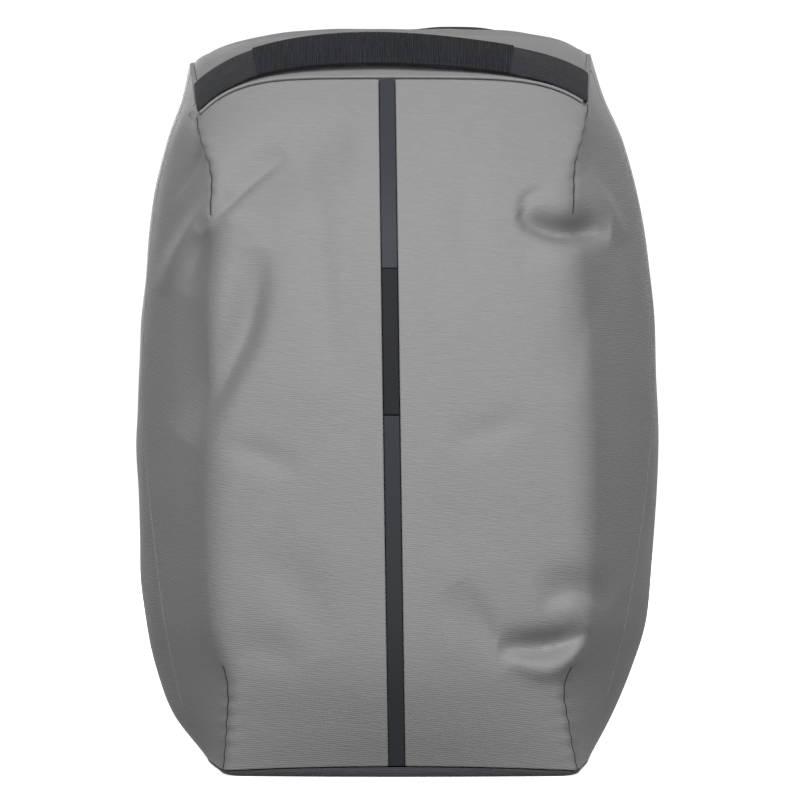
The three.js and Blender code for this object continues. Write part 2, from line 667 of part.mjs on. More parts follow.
function rearZip() {
  const outline = backOutline();
  const loop = (distance, y) => inset(outline, distance, "x", "z").map((p) => p.setY(y));
  const [front, rear] = [-ZIP_WIDTH + GAP, -GAP];
  const [outer, inner] = [ZIP_RECESS, ZIP_RECESS + ZIP_THICKNESS];
  return stack([loop(outer, front), loop(outer, rear), loop(inner, rear), loop(inner, front)], true);
}

function zipPull(side) {
  const at = backLine(PULL_HEIGHT, BACK_COLUMNS)[side < 0 ? 0 : BACK_COLUMNS];
  const width = ZIP_WIDTH - 2 * GAP;
  const pull = new THREE.BoxGeometry(PULL_THICKNESS, width, PULL_LENGTH);
  pull.translate(at.x + side * (GAP + PULL_THICKNESS / 2), -ZIP_WIDTH / 2, at.z);
  return pull;
}

// The handle's grid: it lies on the top panel at its ends and stands off it in the middle.
function handleGrid(from, to, height, overhang = 0) {
  const sideLength = new THREE.CatmullRomCurve3(TOP_EDGES.leftSide).getLength();
  return steps(HANDLE_STEPS, (step) => {
    const s = mix(from, to, step);
    const arch = Math.sin(Math.PI * s ** HANDLE_PEAK) ** HANDLE_ARCH;
    const setback = mix(HANDLE_SETBACK.end, HANDLE_SETBACK.middle, arch);
    return steps(HANDLE_COLUMNS, (w) => {
      const t = (setback + mix(-overhang, HANDLE_WIDTH + overhang, w)) / sideLength;
      const [a, b] = [topPoint(s, t), topPoint(Math.min(s + SLOPE_STEP, 1), t)];
      const [c, d] = [topPoint(Math.max(s - SLOPE_STEP, 0), t), topPoint(s, t + SLOPE_STEP)];
      const out = b.sub(c).cross(d.sub(a)).normalize();
      const lift = 2 * GAP + mix(HANDLE_LIFT.front, HANDLE_LIFT.rear, w) * arch + height;
      return a.addScaledVector(out, lift).add(vec(0, -HANDLE_FORWARD * arch ** 2, 0));
    });
  });
}

function handleWebbing() {
  const [from, to] = [HANDLE_END, 1 - HANDLE_END];
  return sheet(handleGrid(from, to, HANDLE_THICKNESS), handleGrid(from, to, 0));
}

function handleGrip() {
  const low = HANDLE_THICKNESS + GAP;
  const { left, right } = GRIP_SHARE;
  return sheet(
    handleGrid(left, right, low + GRIP_THICKNESS, GRIP_OVERHANG),
    handleGrid(left, right, low, GRIP_OVERHANG),
  );
}

// A flat strip along a curve. widthAt gives its width and acrossAt its width direction, at a share of the
// curve.
function strip(curve, count, widthAt, acrossAt, thickness, chamfer) {
  const loops = steps(count, (t) => {
    const at = curve.getPointAt(t);
    const way = curve.getTangentAt(t);
    const across = acrossAt(t, way).clone();
    across.addScaledVector(way, -across.dot(way)).normalize();
    const out = way.clone().cross(across).normalize();
    const w = widthAt(t) / 2;
    const h = thickness / 2;
    const c = chamfer;
    const section = c
      ? [[w, -h + c], [w, h - c], [w - c, h], [c - w, h], [-w, h - c], [-w, c - h], [c - w, -h], [w - c, -h]]
      : [[w, -h], [w, h], [-w, h], [-w, -h]];
    return section.map(([a, b]) => at.clone().addScaledVector(across, a).addScaledVector(out, b));
  });
  return stack(loops);
}

function strapCurve(name) {
  return new THREE.CatmullRomCurve3(
    STRAP_LINES[name].map(({ x, out, z }) =>
      vec(
        (x * WIDTH) / 2,
        PANEL_EDGE + PAD_RISE + GAP + out * DEPTH + STRAP_THICKNESS / 2,
        z * HEIGHT,
      ),
    ),
  );
}

function shoulderStrap(name) {
  const curve = strapCurve(name);
  const width = (t) => mix(STRAP_WIDTH, STRAP_END_WIDTH, smooth(t, STRAP_TAPER, 1));
  return strip(curve, PATH_STEPS, width, () => vec(1, 0, 0), STRAP_THICKNESS, STRAP_CHAMFER);
}

const buckleHeight = 3 * BUCKLE_BAR + 2 * BUCKLE_SLOT;

// Where a strap's buckle sits, just past the strap's end: its middle, and its directions across, up the
// strap and out from the bag.
function buckleFrame(name) {
  const curve = strapCurve(name);
  const up = curve.getTangentAt(1).negate();
  const across = vec(up.z, 0, -up.x).normalize();
  const out = up.clone().cross(across);
  const middle = curve.getPointAt(1).addScaledVector(up, -buckleHeight / 2 - GAP);
  return { middle, across, up, out };
}

// Where the webbing is sewn to the back panel, turned towards the buckle.
function anchorFrame(name) {
  const side = name === "left" ? -1 : 1;
  const seat = PANEL_EDGE + GAP + ANCHOR_THICKNESS / 2;
  const middle = vec((side * ANCHOR_X[name] * WIDTH) / 2, seat, ANCHOR_HEIGHT * HEIGHT);
  const up = placed(buckleFrame(name), 0, -buckleHeight / 2, 0).sub(middle).setY(0).normalize();
  return { middle, across: vec(up.z, 0, -up.x), up, out: vec(0, 1, 0) };
}

const placed = (frame, a, b, c) =>
  frame.middle
    .clone()
    .addScaledVector(frame.across, a)
    .addScaledVector(frame.up, b)
    .addScaledVector(frame.out, c);

// A flat shape with a thickness, drawn across and up in a frame and set in its middle.
function plateIn(frame, shape, thickness) {
  const geometry = new THREE.ExtrudeGeometry(shape, { depth: thickness, bevelEnabled: false });
  geometry.translate(0, 0, -thickness / 2);
  const depth = frame.across.clone().cross(frame.up);
  return geometry.applyMatrix4(
    new THREE.Matrix4().makeBasis(frame.across, frame.up, depth).setPosition(frame.middle),
  );
}

// A three-bar buckle: a plate with two slots.
function strapBuckle(name) {
  const [w, h] = [BUCKLE_WIDTH / 2, buckleHeight / 2];
  const rectangle = (x0, y0, x1, y1) => [
    new THREE.Vector2(x0, y0),
    new THREE.Vector2(x1, y0),
    new THREE.Vector2(x1, y1),
    new THREE.Vector2(x0, y1),
  ];
  const cut = BUCKLE_BAR / 2;
  const plate = new THREE.Shape([
    new THREE.Vector2(-w + cut, -h),
    new THREE.Vector2(w - cut, -h),
    new THREE.Vector2(w, -h + cut),
    new THREE.Vector2(w, h - cut),
    new THREE.Vector2(w - cut, h),
    new THREE.Vector2(-w + cut, h),
    new THREE.Vector2(-w, h - cut),
    new THREE.Vector2(-w, -h + cut),
  ]);
  const reach = w - BUCKLE_BAR;
  const half = BUCKLE_BAR / 2;
  plate.holes = [
    new THREE.Path(rectangle(-reach, half, reach, half + BUCKLE_SLOT).reverse()),
    new THREE.Path(rectangle(-reach, -half - BUCKLE_SLOT, reach, -half).reverse()),
  ];
  return plateIn(buckleFrame(name), plate, BUCKLE_THICKNESS);
}

// The webbing: from the anchor up behind the buckle, round its middle bar, and down again as the tail.
function strapWebbing(name) {
  const buckle = buckleFrame(name);
  const anchor = anchorFrame(name);
  const near = (BUCKLE_THICKNESS + WEBBING_THICKNESS) / 2 + GAP;
  const seat = (ANCHOR_THICKNESS + WEBBING_THICKNESS) / 2 + GAP;
  const low = -buckleHeight / 2;
  const roundBar = steps(BAR_TURNS, (t) => {
    const turn = Math.PI * (t - 0.5);
    return placed(buckle, 0, BUCKLE_BAR / 2 + near * Math.cos(turn), near * Math.sin(turn));
  });
  const leaving = placed(buckle, 0, low - BUCKLE_BAR, near);
  const tail = (share) => leaving.clone().addScaledVector(anchor.up, -TAIL_LENGTH * share);
  const curve = new THREE.CatmullRomCurve3([
    placed(anchor, 0, -ANCHOR_LENGTH / 3, seat),
    placed(anchor, 0, 0, seat),
    placed(anchor, 0, ANCHOR_LENGTH / 2, seat + WEBBING_THICKNESS / 2),
    placed(buckle, 0, low - BUCKLE_BAR, -near),
    placed(buckle, 0, low, -near),
    ...roundBar,
    placed(buckle, 0, low, near),
    ...steps(TAIL_STEPS, tail),
  ]);
  // It lies flat to the bag at the anchor, flat to the buckle beside it, and along the bar round it.
  const acrossAt = (t, way) => {
    const facing = anchor.out.clone().lerp(buckle.out, smooth(t, WEBBING_TURN.from, WEBBING_TURN.to));
    const flat = facing.cross(way).normalize();
    flat.multiplyScalar(Math.sign(flat.dot(buckle.across)));
    return flat.lerp(buckle.across, smooth(Math.abs(way.dot(buckle.out)), BAR_FACING.from, BAR_FACING.to));
  };
  return strip(curve, 3 * PATH_STEPS, () => WEBBING_WIDTH, acrossAt, WEBBING_THICKNESS, 0);
}

// The sewn tab on the back panel that the webbing ends on.
function strapAnchor(name) {
  const wide = WEBBING_WIDTH / 2 + ANCHOR_FLARE;
  const high = ANCHOR_LENGTH / 2;
  const tab = new THREE.Shape([
    new THREE.Vector2(-wide, -high),
    new THREE.Vector2(wide, -high),
    new THREE.Vector2(WEBBING_WIDTH / 2, high),
    new THREE.Vector2(-WEBBING_WIDTH / 2, high),
  ]);
  return plateIn(anchorFrame(name), tab, ANCHOR_THICKNESS);
}

const bag = new THREE.Group();

function add(name, geometry, material) {
  const mesh = new THREE.Mesh(geometry, material);
  mesh.name = name;
  bag.add(mesh);
}

for (const [name, side] of [["left", -1], ["right", 1]]) {
  add(`front_panel_${name}`, frontPanel(side), CLOTH);
  add(`side_gusset_${name}`, gusset(side), CLOTH);
  add(`zip_pull_${name}`, zipPull(side), PLASTIC);
  add(`shoulder_strap_${name}`, shoulderStrap(name), LINING);
  add(`strap_buckle_${name}`, strapBuckle(name), PLASTIC);
  add(`strap_webbing_${name}`, strapWebbing(name), WEBBING);
  add(`strap_anchor_${name}`, strapAnchor(name), WEBBING);
}
add("top_panel", topPanel(), CLOTH);
add("top_seam_piping", piping(), CLOTH);
add("base_panel", basePanel(), LINING);
add("back_panel", backPanel(), LINING);
add("rear_zip", rearZip(), TRIM);
add("centre_band_upper", bandPiece(PATCH_SHARE.top, 1, BAND_RECESS), TRIM);
add("centre_band_patch", bandPiece(PATCH_SHARE.bottom, PATCH_SHARE.top, 0), TRIM);
add("centre_band_lower", bandPiece(0, PATCH_SHARE.bottom, BAND_RECESS), TRIM);
add("handle_webbing", handleWebbing(), WEBBING);
add("handle_grip", handleGrip(), WEBBING);

// The part's origin is on the ground under the middle of the whole object.
bag.updateMatrixWorld(true);
const box = new THREE.Box3().setFromObject(bag, true);
bag.position.set(-(box.min.x + box.max.x) / 2, -(box.min.y + box.max.y) / 2, -box.min.z);

const part = new THREE.Group();
part.add(bag);
export default part;
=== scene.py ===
"""The looks of a soft laptop backpack that stands on its base.

Shapes are worked out in millimetres in the bag's own axes, where the back edge of the walls is at y = 0,
and are put into Blender in metres in the row's frame. The front faces -Y.
"""

from __future__ import annotations

import logging
import math
from collections.abc import Sequence
from dataclasses import dataclass, field
from enum import Enum

import bpy
import numpy as np
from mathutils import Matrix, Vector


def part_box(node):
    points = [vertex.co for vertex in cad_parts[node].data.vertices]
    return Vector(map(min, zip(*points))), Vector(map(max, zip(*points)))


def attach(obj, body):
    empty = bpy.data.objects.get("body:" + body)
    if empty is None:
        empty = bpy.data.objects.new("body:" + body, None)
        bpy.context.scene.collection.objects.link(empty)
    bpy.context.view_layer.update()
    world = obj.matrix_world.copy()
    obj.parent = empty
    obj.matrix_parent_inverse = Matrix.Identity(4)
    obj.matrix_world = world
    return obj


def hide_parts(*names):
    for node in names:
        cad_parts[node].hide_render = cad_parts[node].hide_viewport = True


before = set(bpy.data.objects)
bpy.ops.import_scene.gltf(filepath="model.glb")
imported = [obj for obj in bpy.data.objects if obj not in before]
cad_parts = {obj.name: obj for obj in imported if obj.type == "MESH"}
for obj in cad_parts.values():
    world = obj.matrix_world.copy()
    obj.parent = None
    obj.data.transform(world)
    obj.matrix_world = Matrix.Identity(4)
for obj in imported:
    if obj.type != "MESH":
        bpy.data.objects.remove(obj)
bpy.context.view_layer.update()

LOG = logging.getLogger("backpack")
Array = np.ndarray
Socket = bpy.types.NodeSocket
Tree = bpy.types.NodeTree
METRE = 1000.0
RIPPLE_SEED = 7
RIPPLE_WAVES = 9
RIPPLE_PEAK = 4.0
CURVE_STEPS = 24
FOLD_STEPS = 16
HALVINGS = 20
RIGHTWARD = np.array([1.0, 0.0, 0.0])
BACKWARD = np.array([0.0, 1.0, 0.0])
# How far the close rows beside a folded edge lie from it, in millimetres.
EDGE_ROWS = np.array([0.12, 0.3, 0.6, 1.0, 1.5, 2.2])
# The rings of a stitch: the share of its length where each lies, and its fullness there.
STITCH_PLACES = np.array([0.02, 0.2, 0.5, 0.8, 0.98])
STITCH_FULLNESS = np.array([0.35, 0.85, 1.0, 0.85, 0.35])


class Zone(Enum):
    """The stretches of the wall's plan on one side, from the centre band to the back."""

    FACE = "face"
    CORNER = "corner"
    SIDE = "side"
    ROLL = "roll"


class Side(Enum):
    """The two sides of the bag, as seen from the front."""

    LEFT = -1
    RIGHT = 1

    @property
    def word(self) -> str:
        """The side's name as the nodes spell it."""
        return self.name.lower()


def mix(a: Array | float, b: Array | float, t: Array | float) -> Array | float:
    """Goes from a to b as t goes from 0 to 1."""
    return a + (b - a) * t


def smooth(x: Array, start: float, end: float) -> Array:
    """Goes from 0 at start to 1 at end along an S curve."""
    t = np.clip((x - start) / (end - start), 0.0, 1.0)
    return t * t * (3.0 - 2.0 * t)


def unit(vectors: Array) -> Array:
    """Scales vectors to length 1."""
    return vectors / np.maximum(np.linalg.norm(vectors, axis=-1, keepdims=True), 1e-12)


def rolled(distance: Array, radius: float) -> Array:
    """How far a folded edge has turned in: a quarter circle of that radius that ends at the edge.

    Args:
        distance: How far each point lies from the edge.
        radius: The radius of the fold.

    Returns:
        The depth below the flat face.
    """
    reach = np.clip(radius - distance, 0.0, radius)
    return radius - np.sqrt(radius**2 - reach**2)


def ripple(x: Array, z: Array, wavelength: float, seed: int = RIPPLE_SEED) -> Array:
    """A gentle unevenness between -1 and 1: the sum of nine plane waves with random ways and phases.

    Args:
        x: One coordinate of each point.
        z: The other coordinate.
        wavelength: The mean distance between crests.
        seed: Picks the waves.

    Returns:
        The height of the sum at each point.
    """
    chance = np.random.default_rng(seed)
    total = np.zeros(np.broadcast(x, z).shape)
    for _ in range(RIPPLE_WAVES):
        turn = chance.uniform(0.0, math.tau)
        length = wavelength * chance.uniform(0.6, 1.8)
        wave = (x * math.cos(turn) + z * math.sin(turn)) / length
        total = total + np.sin(math.tau * wave + chance.uniform(0.0, math.tau))
    return total / RIPPLE_PEAK


def surface_normals(grid: Array, turn: int = 1) -> Array:
    """Outward directions of a grid: the cross product of its two central differences.

    Args:
        grid: Points in rows and columns.
        turn: 1 where columns then rows turn to the outside, and -1 if not.

    Returns:
        One unit vector for each point.
    """
    across = np.gradient(grid, axis=1)
    up = np.gradient(grid, axis=0)
    return unit(np.cross(across, up)) * turn


def arc(points: Array, axis: int) -> Array:
    """Distance along a grid's lines from their first points, along one axis.

    Args:
        points: The grid, or one line of points.
        axis: The axis along which the lines run.

    Returns:
        The distance of each point.
    """
    steps = np.linalg.norm(np.diff(points, axis=axis), axis=-1)
    start = np.zeros_like(np.take(steps, [0], axis=axis))
    return np.concatenate([start, np.cumsum(steps, axis=axis)], axis=axis)


def with_edges(count: int, length: float, first: bool, last: bool) -> Array:
    """Even shares from 0 to 1, with more of them close to the ends that fold over.

    Args:
        count: The number of even steps.
        length: The rough length of the line.
        first: Whether the start folds over.
        last: Whether the end does.

    Returns:
        The shares in order.
    """
    near = EDGE_ROWS / length
    shares = [np.linspace(0.0, 1.0, count + 1)]
    if first:
        shares.append(near)
    if last:
        shares.append(1.0 - near)
    return np.unique(np.round(np.concatenate(shares), 6))


def hermite(t: Array, start: Array, end: Array, leaving: Array, arriving: Array) -> Array:
    """A cubic curve from start to end with a slope at each, weighed by the four Hermite polynomials.

    Args:
        t: Shares of the curve.
        start: Where it starts.
        end: Where it ends.
        leaving: Its slope at the start.
        arriving: Its slope at the end.

    Returns:
        Its values.
    """
    return (
        (2 * t**3 - 3 * t**2 + 1) * start + (t**3 - 2 * t**2 + t) * leaving
        + (3 * t**2 - 2 * t**3) * end + (t**3 - t**2) * arriving
    )


def catmull(points: Array, count: int) -> Array:
    """A centripetal Catmull-Rom curve through points, as even steps along its length.

    Args:
        points: The points that it goes through.
        count: The number of steps.

    Returns:
        count + 1 points.
    """
    ends = [2 * points[0] - points[1], *points, 2 * points[-1] - points[-2]]
    p = np.array(ends)
    t = np.linspace(0.0, 1.0, CURVE_STEPS, endpoint=False)[:, None]
    pieces = []
    for a, b, c, d in zip(p[:-3], p[1:-2], p[2:-1], p[3:]):
        d0, d1, d2 = (max(np.linalg.norm(v) ** 0.5, 1e-4) for v in (b - a, c - b, d - c))
        m1 = ((b - a) / d0 - (c - a) / (d0 + d1) + (c - b) / d1) * d1
        m2 = ((c - b) / d1 - (d - b) / (d1 + d2) + (d - c) / d2) * d1
        pieces.append(hermite(t, b, c, m1, m2))
    line = np.vstack([*pieces, p[-2][None]])
    return even_steps(line, count)


def read_at(at: Array, far: Array, rows: Array) -> Array:
    """Rows of values read between their places, along straight lines."""
    return np.stack([np.interp(at, far, column) for column in rows.T], axis=-1)


def along(line: Array, shares: Array) -> Array:
    """The points at shares of a polyline's length."""
    far = arc(line, 0)
    return read_at(np.clip(shares, 0.0, 1.0) * far[-1], far, line)


def even_steps(line: Array, count: int) -> Array:
    """A polyline's points at even steps of its length."""
    return along(line, np.linspace(0.0, 1.0, count + 1))


def hems(across: Array, up: Array, radius: float) -> Array:
    """How far the four edges of a sheet have turned in.

    Args:
        across: Each point's distance from the first column.
        up: Its distance from the first row.
        radius: The radius of the folds.

    Returns:
        The depth below the flat face.
    """
    edges = (across, across[:, -1:] - across, up, up[-1:] - up)
    return sum(rolled(far, radius) for far in edges)


@dataclass(frozen=True)
class Table:
    """Rows of named columns. The first column places each row."""

    names: tuple[str, ...]
    rows: tuple[tuple[float, ...], ...]

    def column(self, name: str) -> Array:
        """One column as an array."""
        return np.array([row[self.names.index(name)] for row in self.rows])

    def read(self, name: str, at: Array) -> Array:
        """A column as a smooth curve over the first one: cubic pieces with the slopes of the neighbours.

        Args:
            name: The column.
            at: Where it is read.

        Returns:
            Its values there.
        """
        places, values = self.column(self.names[0]), self.column(name)
        last = len(places) - 1
        k = np.arange(last + 1)
        before, after = np.maximum(k - 1, 0), np.minimum(k + 1, last)
        slopes = (values[after] - values[before]) / (places[after] - places[before])
        i = np.clip(np.searchsorted(places, at, side="left") - 1, 0, last - 1)
        span = places[i + 1] - places[i]
        t = (at - places[i]) / span
        return hermite(t, values[i], values[i + 1], span * slopes[i], span * slopes[i + 1])


@dataclass
class Patch:
    """A closed mesh in millimetres: points, faces and a place on the cloth for each point."""

    points: Array
    faces: list[list[int]]
    cloth: Array

    def volume(self) -> float:
        """The signed volume: each face's triangles, as tetrahedra from the origin, added up.

        Returns:
            Six times the volume, below 0 where the faces point in.
        """
        total = 0.0
        for size in {len(f) for f in self.faces}:
            ring = self.points[np.array([f for f in self.faces if len(f) == size])]
            for k in range(1, size - 1):
                total += float(np.einsum("ij,ij->", ring[:, 0], np.cross(ring[:, k], ring[:, k + 1])))
        return total

    def outward(self) -> Patch:
        """Turns the faces outwards.

        Returns:
            The patch itself.
        """
        if self.volume() < 0:
            self.faces = [f[::-1] for f in self.faces]
        return self


def joined(patches: Sequence[Patch]) -> Patch:
    """Several patches as one mesh.

    Args:
        patches: The patches.

    Returns:
        One patch with all their points and faces.
    """
    points, faces, cloth, start = [], [], [], 0
    for patch in patches:
        points.append(patch.points)
        cloth.append(patch.cloth)
        faces += [[v + start for v in face] for face in patch.faces]
        start += len(patch.points)
    return Patch(np.vstack(points), faces, np.vstack(cloth))


def quads(index: Array) -> Array:
    """The four-cornered faces between neighbours in a grid of point numbers."""
    ring = [index[:-1, :-1], index[:-1, 1:], index[1:, 1:], index[1:, :-1]]
    return np.stack(ring, axis=-1).reshape(-1, 4)


def shell(outer: Array, inner: Array, cloth: Array) -> Patch:
    """The closed sheet between two grids, with four strips of faces round its rim.

    Args:
        outer: The outer grid of points.
        inner: The inner grid, with the same rows and columns.
        cloth: Each point's place on the cloth.

    Returns:
        The closed mesh.
    """
    rows, columns = outer.shape[:2]
    count = rows * columns
    a = np.arange(count).reshape(rows, columns)
    b = a + count
    face = quads(a)
    rims = []
    for x, y in ((a[0], b[0]), (b[-1], a[-1]), (b[:, 0], a[:, 0]), (a[:, -1], b[:, -1])):
        rims.append(np.stack([x[1:], x[:-1], y[:-1], y[1:]], axis=-1))
    faces = np.vstack([face, face[:, ::-1] + count, *rims])
    points = np.vstack([outer.reshape(-1, 3), inner.reshape(-1, 3)])
    flat = cloth.reshape(-1, 2)
    return Patch(points, faces.tolist(), np.vstack([flat, flat])).outward()


def tube(loops: Array, ring: bool = False, cloth: Array | None = None) -> Patch:
    """A closed solid through loops of points: quads between neighbours, and a fan at each open end.

    Args:
        loops: Loops with the same number of points each.
        ring: Whether the last loop meets the first.
        cloth: Each point's place on the cloth, or none for the distances round and along.

    Returns:
        The closed mesh.
    """
    turns, count = loops.shape[:2]
    if cloth is None:
        cloth = np.stack([arc(loops, 1), arc(loops, 0)], axis=-1)
    points, flat = loops.reshape(-1, 3), cloth.reshape(-1, 2)
    index = np.arange(turns * count).reshape(turns, count)
    if ring:
        index = np.vstack([index, index[:1]])
    faces = quads(np.hstack([index, index[:, :1]])).tolist()
    if not ring:
        points = np.vstack([points, loops[0].mean(0), loops[-1].mean(0)])
        flat = np.vstack([flat, flat[:count].mean(0), flat[-count:].mean(0)])
        first, last = turns * count, turns * count + 1
        k = np.arange(count)
        n = (k + 1) % count
        start = (turns - 1) * count
        faces += np.stack([n, k, np.full(count, first)], -1).tolist()
        faces += np.stack([start + k, start + n, np.full(count, last)], -1).tolist()
    return Patch(points, faces, flat).outward()


def rounded_section(width: Array, thickness: Array, count: int = 20, power: float = 4.0) -> Array:
    """A closed section between an oval and a rectangle: |x/a| and |y/b| to one power add up to 1.

    Args:
        width: The full width of each section.
        thickness: The full thickness of each section.
        count: The points round it.
        power: 2 for an oval, and more for squarer corners.

    Returns:
        The two coordinates of each section's points.
    """
    turn = np.linspace(0.0, math.tau, count, endpoint=False)
    c, s = np.cos(turn), np.sin(turn)
    x = np.sign(c) * np.abs(c) ** (2.0 / power)
    y = np.sign(s) * np.abs(s) ** (2.0 / power)
    return np.stack([np.asarray(width)[..., None] / 2 * x, np.asarray(thickness)[..., None] / 2 * y], -1)


def swept(path: Array, across: Array, section: Array, ring: bool = False) -> Patch:
    """A section carried along a path: its first coordinate across, and its second along the normal.

    Args:
        path: The points of the path.
        across: The direction of the section's first coordinate, at each point or at all.
        section: One section for all points, or one for each.
        ring: Whether the path is closed.

    Returns:
        The closed mesh.
    """
    way = np.roll(path, -1, 0) - np.roll(path, 1, 0) if ring else np.gradient(path, axis=0)
    way = unit(way)
    wide = unit(across - way * np.sum(across * way, -1, keepdims=True))
    out = np.cross(way, wide)
    flat = np.broadcast_to(section, (len(path), *section.shape[-2:]))
    loops = path[:, None] + wide[:, None] * flat[..., :1] + out[:, None] * flat[..., 1:]
    return tube(loops, ring)


def capsules(starts: Array, ends: Array, outs: Array, width: float, height: float) -> Patch:
    """Many small stitches: each is a six-sided spindle, fullest at its middle, that lies between two points.

    Args:
        starts: Where each stitch goes in.
        ends: Where each comes out.
        outs: The direction out of the cloth at each.
        width: The width of the thread.
        height: How far its middle stands out.

    Returns:
        All of them as one mesh.
    """
    way = unit(ends - starts)
    side = unit(np.cross(way, outs))
    turn = np.linspace(0.0, math.tau, 6, endpoint=False)
    middle = starts[:, None] + (ends - starts)[:, None] * STITCH_PLACES[:, None]
    middle = middle + outs[:, None] * (height * np.sin(math.pi * STITCH_PLACES))[:, None]
    ring = (
        side[:, None, None] * (np.cos(turn) * width / 2)[:, None]
        + outs[:, None, None] * (np.sin(turn) * width / 2)[:, None]
    )
    loops = middle[:, :, None] + ring * STITCH_FULLNESS[:, None, None]
    return joined([tube(loop) for loop in loops])


@dataclass
class Workshop:
    """Turns patches into Blender objects in the row's frame, and keeps the list of what was made.

    The shift is where the bag's own origin lies in the row's frame, in millimetres.
    """

    shift: Array
    made: list[bpy.types.Object] = field(default_factory=list)

    def piece(
        self,
        name: str,
        patch: Patch,
        finish: bpy.types.Material,
        replaces: Sequence[str] = (),
        slot: str = "black_polyester",
        sharp: float = 42.0,
    ) -> bpy.types.Object:
        """Makes one piece of the bag and ties it to the body.

        Args:
            name: The piece's name.
            patch: Its closed mesh, in the bag's own axes.
            finish: Its material.
            replaces: The CAD nodes that it stands for.
            slot: The record's material slot. It is not used.
            sharp: Edges that turn more than this many degrees stay sharp.

        Returns:
            The object.
        """
        mesh = bpy.data.meshes.new(name)
        mesh.from_pydata((patch.points + self.shift) / METRE, [], patch.faces)
        corners = np.empty(len(mesh.loops), np.int32)
        mesh.loops.foreach_get("vertex_index", corners)
        layer = mesh.uv_layers.new(name="cloth")
        layer.uv.foreach_set("vector", (patch.cloth[corners] / METRE).astype(np.float32).ravel())
        mesh.materials.append(finish)
        mesh.polygons.foreach_set("use_smooth", np.ones(len(mesh.polygons), bool))
        mesh.set_sharp_from_angle(angle=math.radians(sharp))
        mesh.update()
        thing = bpy.data.objects.new(name, mesh)
        bpy.context.scene.collection.objects.link(thing)
        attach(thing, "root")
        if replaces:
            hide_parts(*replaces)
        self.made.append(thing)
        LOG.info("%s: %d faces", name, len(mesh.polygons))
        return thing


def linear(code: str) -> tuple[float, float, float, float]:
    """An sRGB hex colour in linear light: a straight line near black, and a power of 2.4 above it.

    Args:
        code: The colour, such as "#808080".

    Returns:
        Red, green and blue, and full alpha.
    """
    values = [int(code[k : k + 2], 16) / 255 for k in (1, 3, 5)]
    made = [v / 12.92 if v <= 0.04045 else ((v + 0.055) / 1.055) ** 2.4 for v in values]
    return (made[0], made[1], made[2], 1.0)


def fill_inputs(tree: Tree, node: bpy.types.Node, inputs: dict[str | int, object]) -> None:
    """Sets or links a node's inputs.

    Args:
        tree: The node tree.
        node: The node.
        inputs: A value or an output socket for each input, by its name or number.
    """
    for key, value in inputs.items():
        if isinstance(value, bpy.types.NodeSocket):
            tree.links.new(value, node.inputs[key])
        else:
            node.inputs[key].default_value = value


def add_node(
    tree: Tree, kind: str, inputs: dict[str | int, object] | None = None, **settings: object
) -> bpy.types.NodeOutputs:
    """Adds a node with its settings, and sets or links its inputs.

    Args:
        tree: The node tree.
        kind: The node's type, after the words ShaderNode.
        inputs: A value or an output socket for each input, by its name or number.
        settings: The node's own properties.

    Returns:
        The node's outputs.
    """
    node = tree.nodes.new(f"ShaderNode{kind}")
    for key, value in settings.items():
        setattr(node, key, value)
    fill_inputs(tree, node, inputs or {})
    return node.outputs


def new_material(name: str) -> tuple[bpy.types.Material, Tree, bpy.types.Node]:
    """An empty material.

    Args:
        name: Its name.

    Returns:
        The material, its node tree and its shader.
    """
    made = bpy.data.materials.new(name)
    made.use_nodes = True
    return made, made.node_tree, made.node_tree.nodes["Principled BSDF"]


def calculated(tree: Tree, operation: str, *values: Socket | float) -> Socket:
    """The result of a math node."""
    return add_node(tree, "Math", dict(enumerate(values)), operation=operation)[0]


def noise(tree: Tree, place: Socket, scale: float, detail: float) -> Socket:
    """The height of a noise node."""
    return add_node(tree, "TexNoise", {"Vector": place, "Scale": scale, "Detail": detail})["Fac"]


def scaled(tree: Tree, place: Socket, scale: tuple[float, float, float]) -> Socket:
    """A place whose three coordinates are multiplied."""
    return add_node(tree, "Mapping", {"Vector": place, "Scale": scale})[0]


def ranged(
    tree: Tree, value: Socket, start: tuple[float, float], end: tuple[float, float] = (0.0, 1.0)
) -> Socket:
    """A value taken from one range to another.

    Args:
        tree: The node tree.
        value: The value.
        start: The range that it has.
        end: The range that it gets, with its ends kept.

    Returns:
        The new value.
    """
    names = ("From Min", "From Max", "To Min", "To Max")
    return add_node(tree, "MapRange", {"Value": value, **dict(zip(names, (*start, *end)))})[0]


def blended(tree: Tree, share: Socket, first: str, last: str) -> Socket:
    """A colour between two hex colours."""
    inputs = {"Factor": share, "A": linear(first), "B": linear(last)}
    return add_node(tree, "Mix", inputs, data_type="RGBA")["Result"]


def bumped(tree: Tree, height: Socket, strength: float, relief: float) -> Socket:
    """The normal of a surface with a relief in millimetres."""
    inputs = {"Height": height, "Strength": strength, "Distance": relief / METRE}
    return add_node(tree, "Bump", inputs)[0]


class Weave(Enum):
    """How the threads of a cloth lie: how far their lines slant, and how much its crossings stand out."""

    PLAIN = (0.0, 0.8)
    TWILL = (0.1, 0.2)
    RIBBED = (0.0, 0.12)


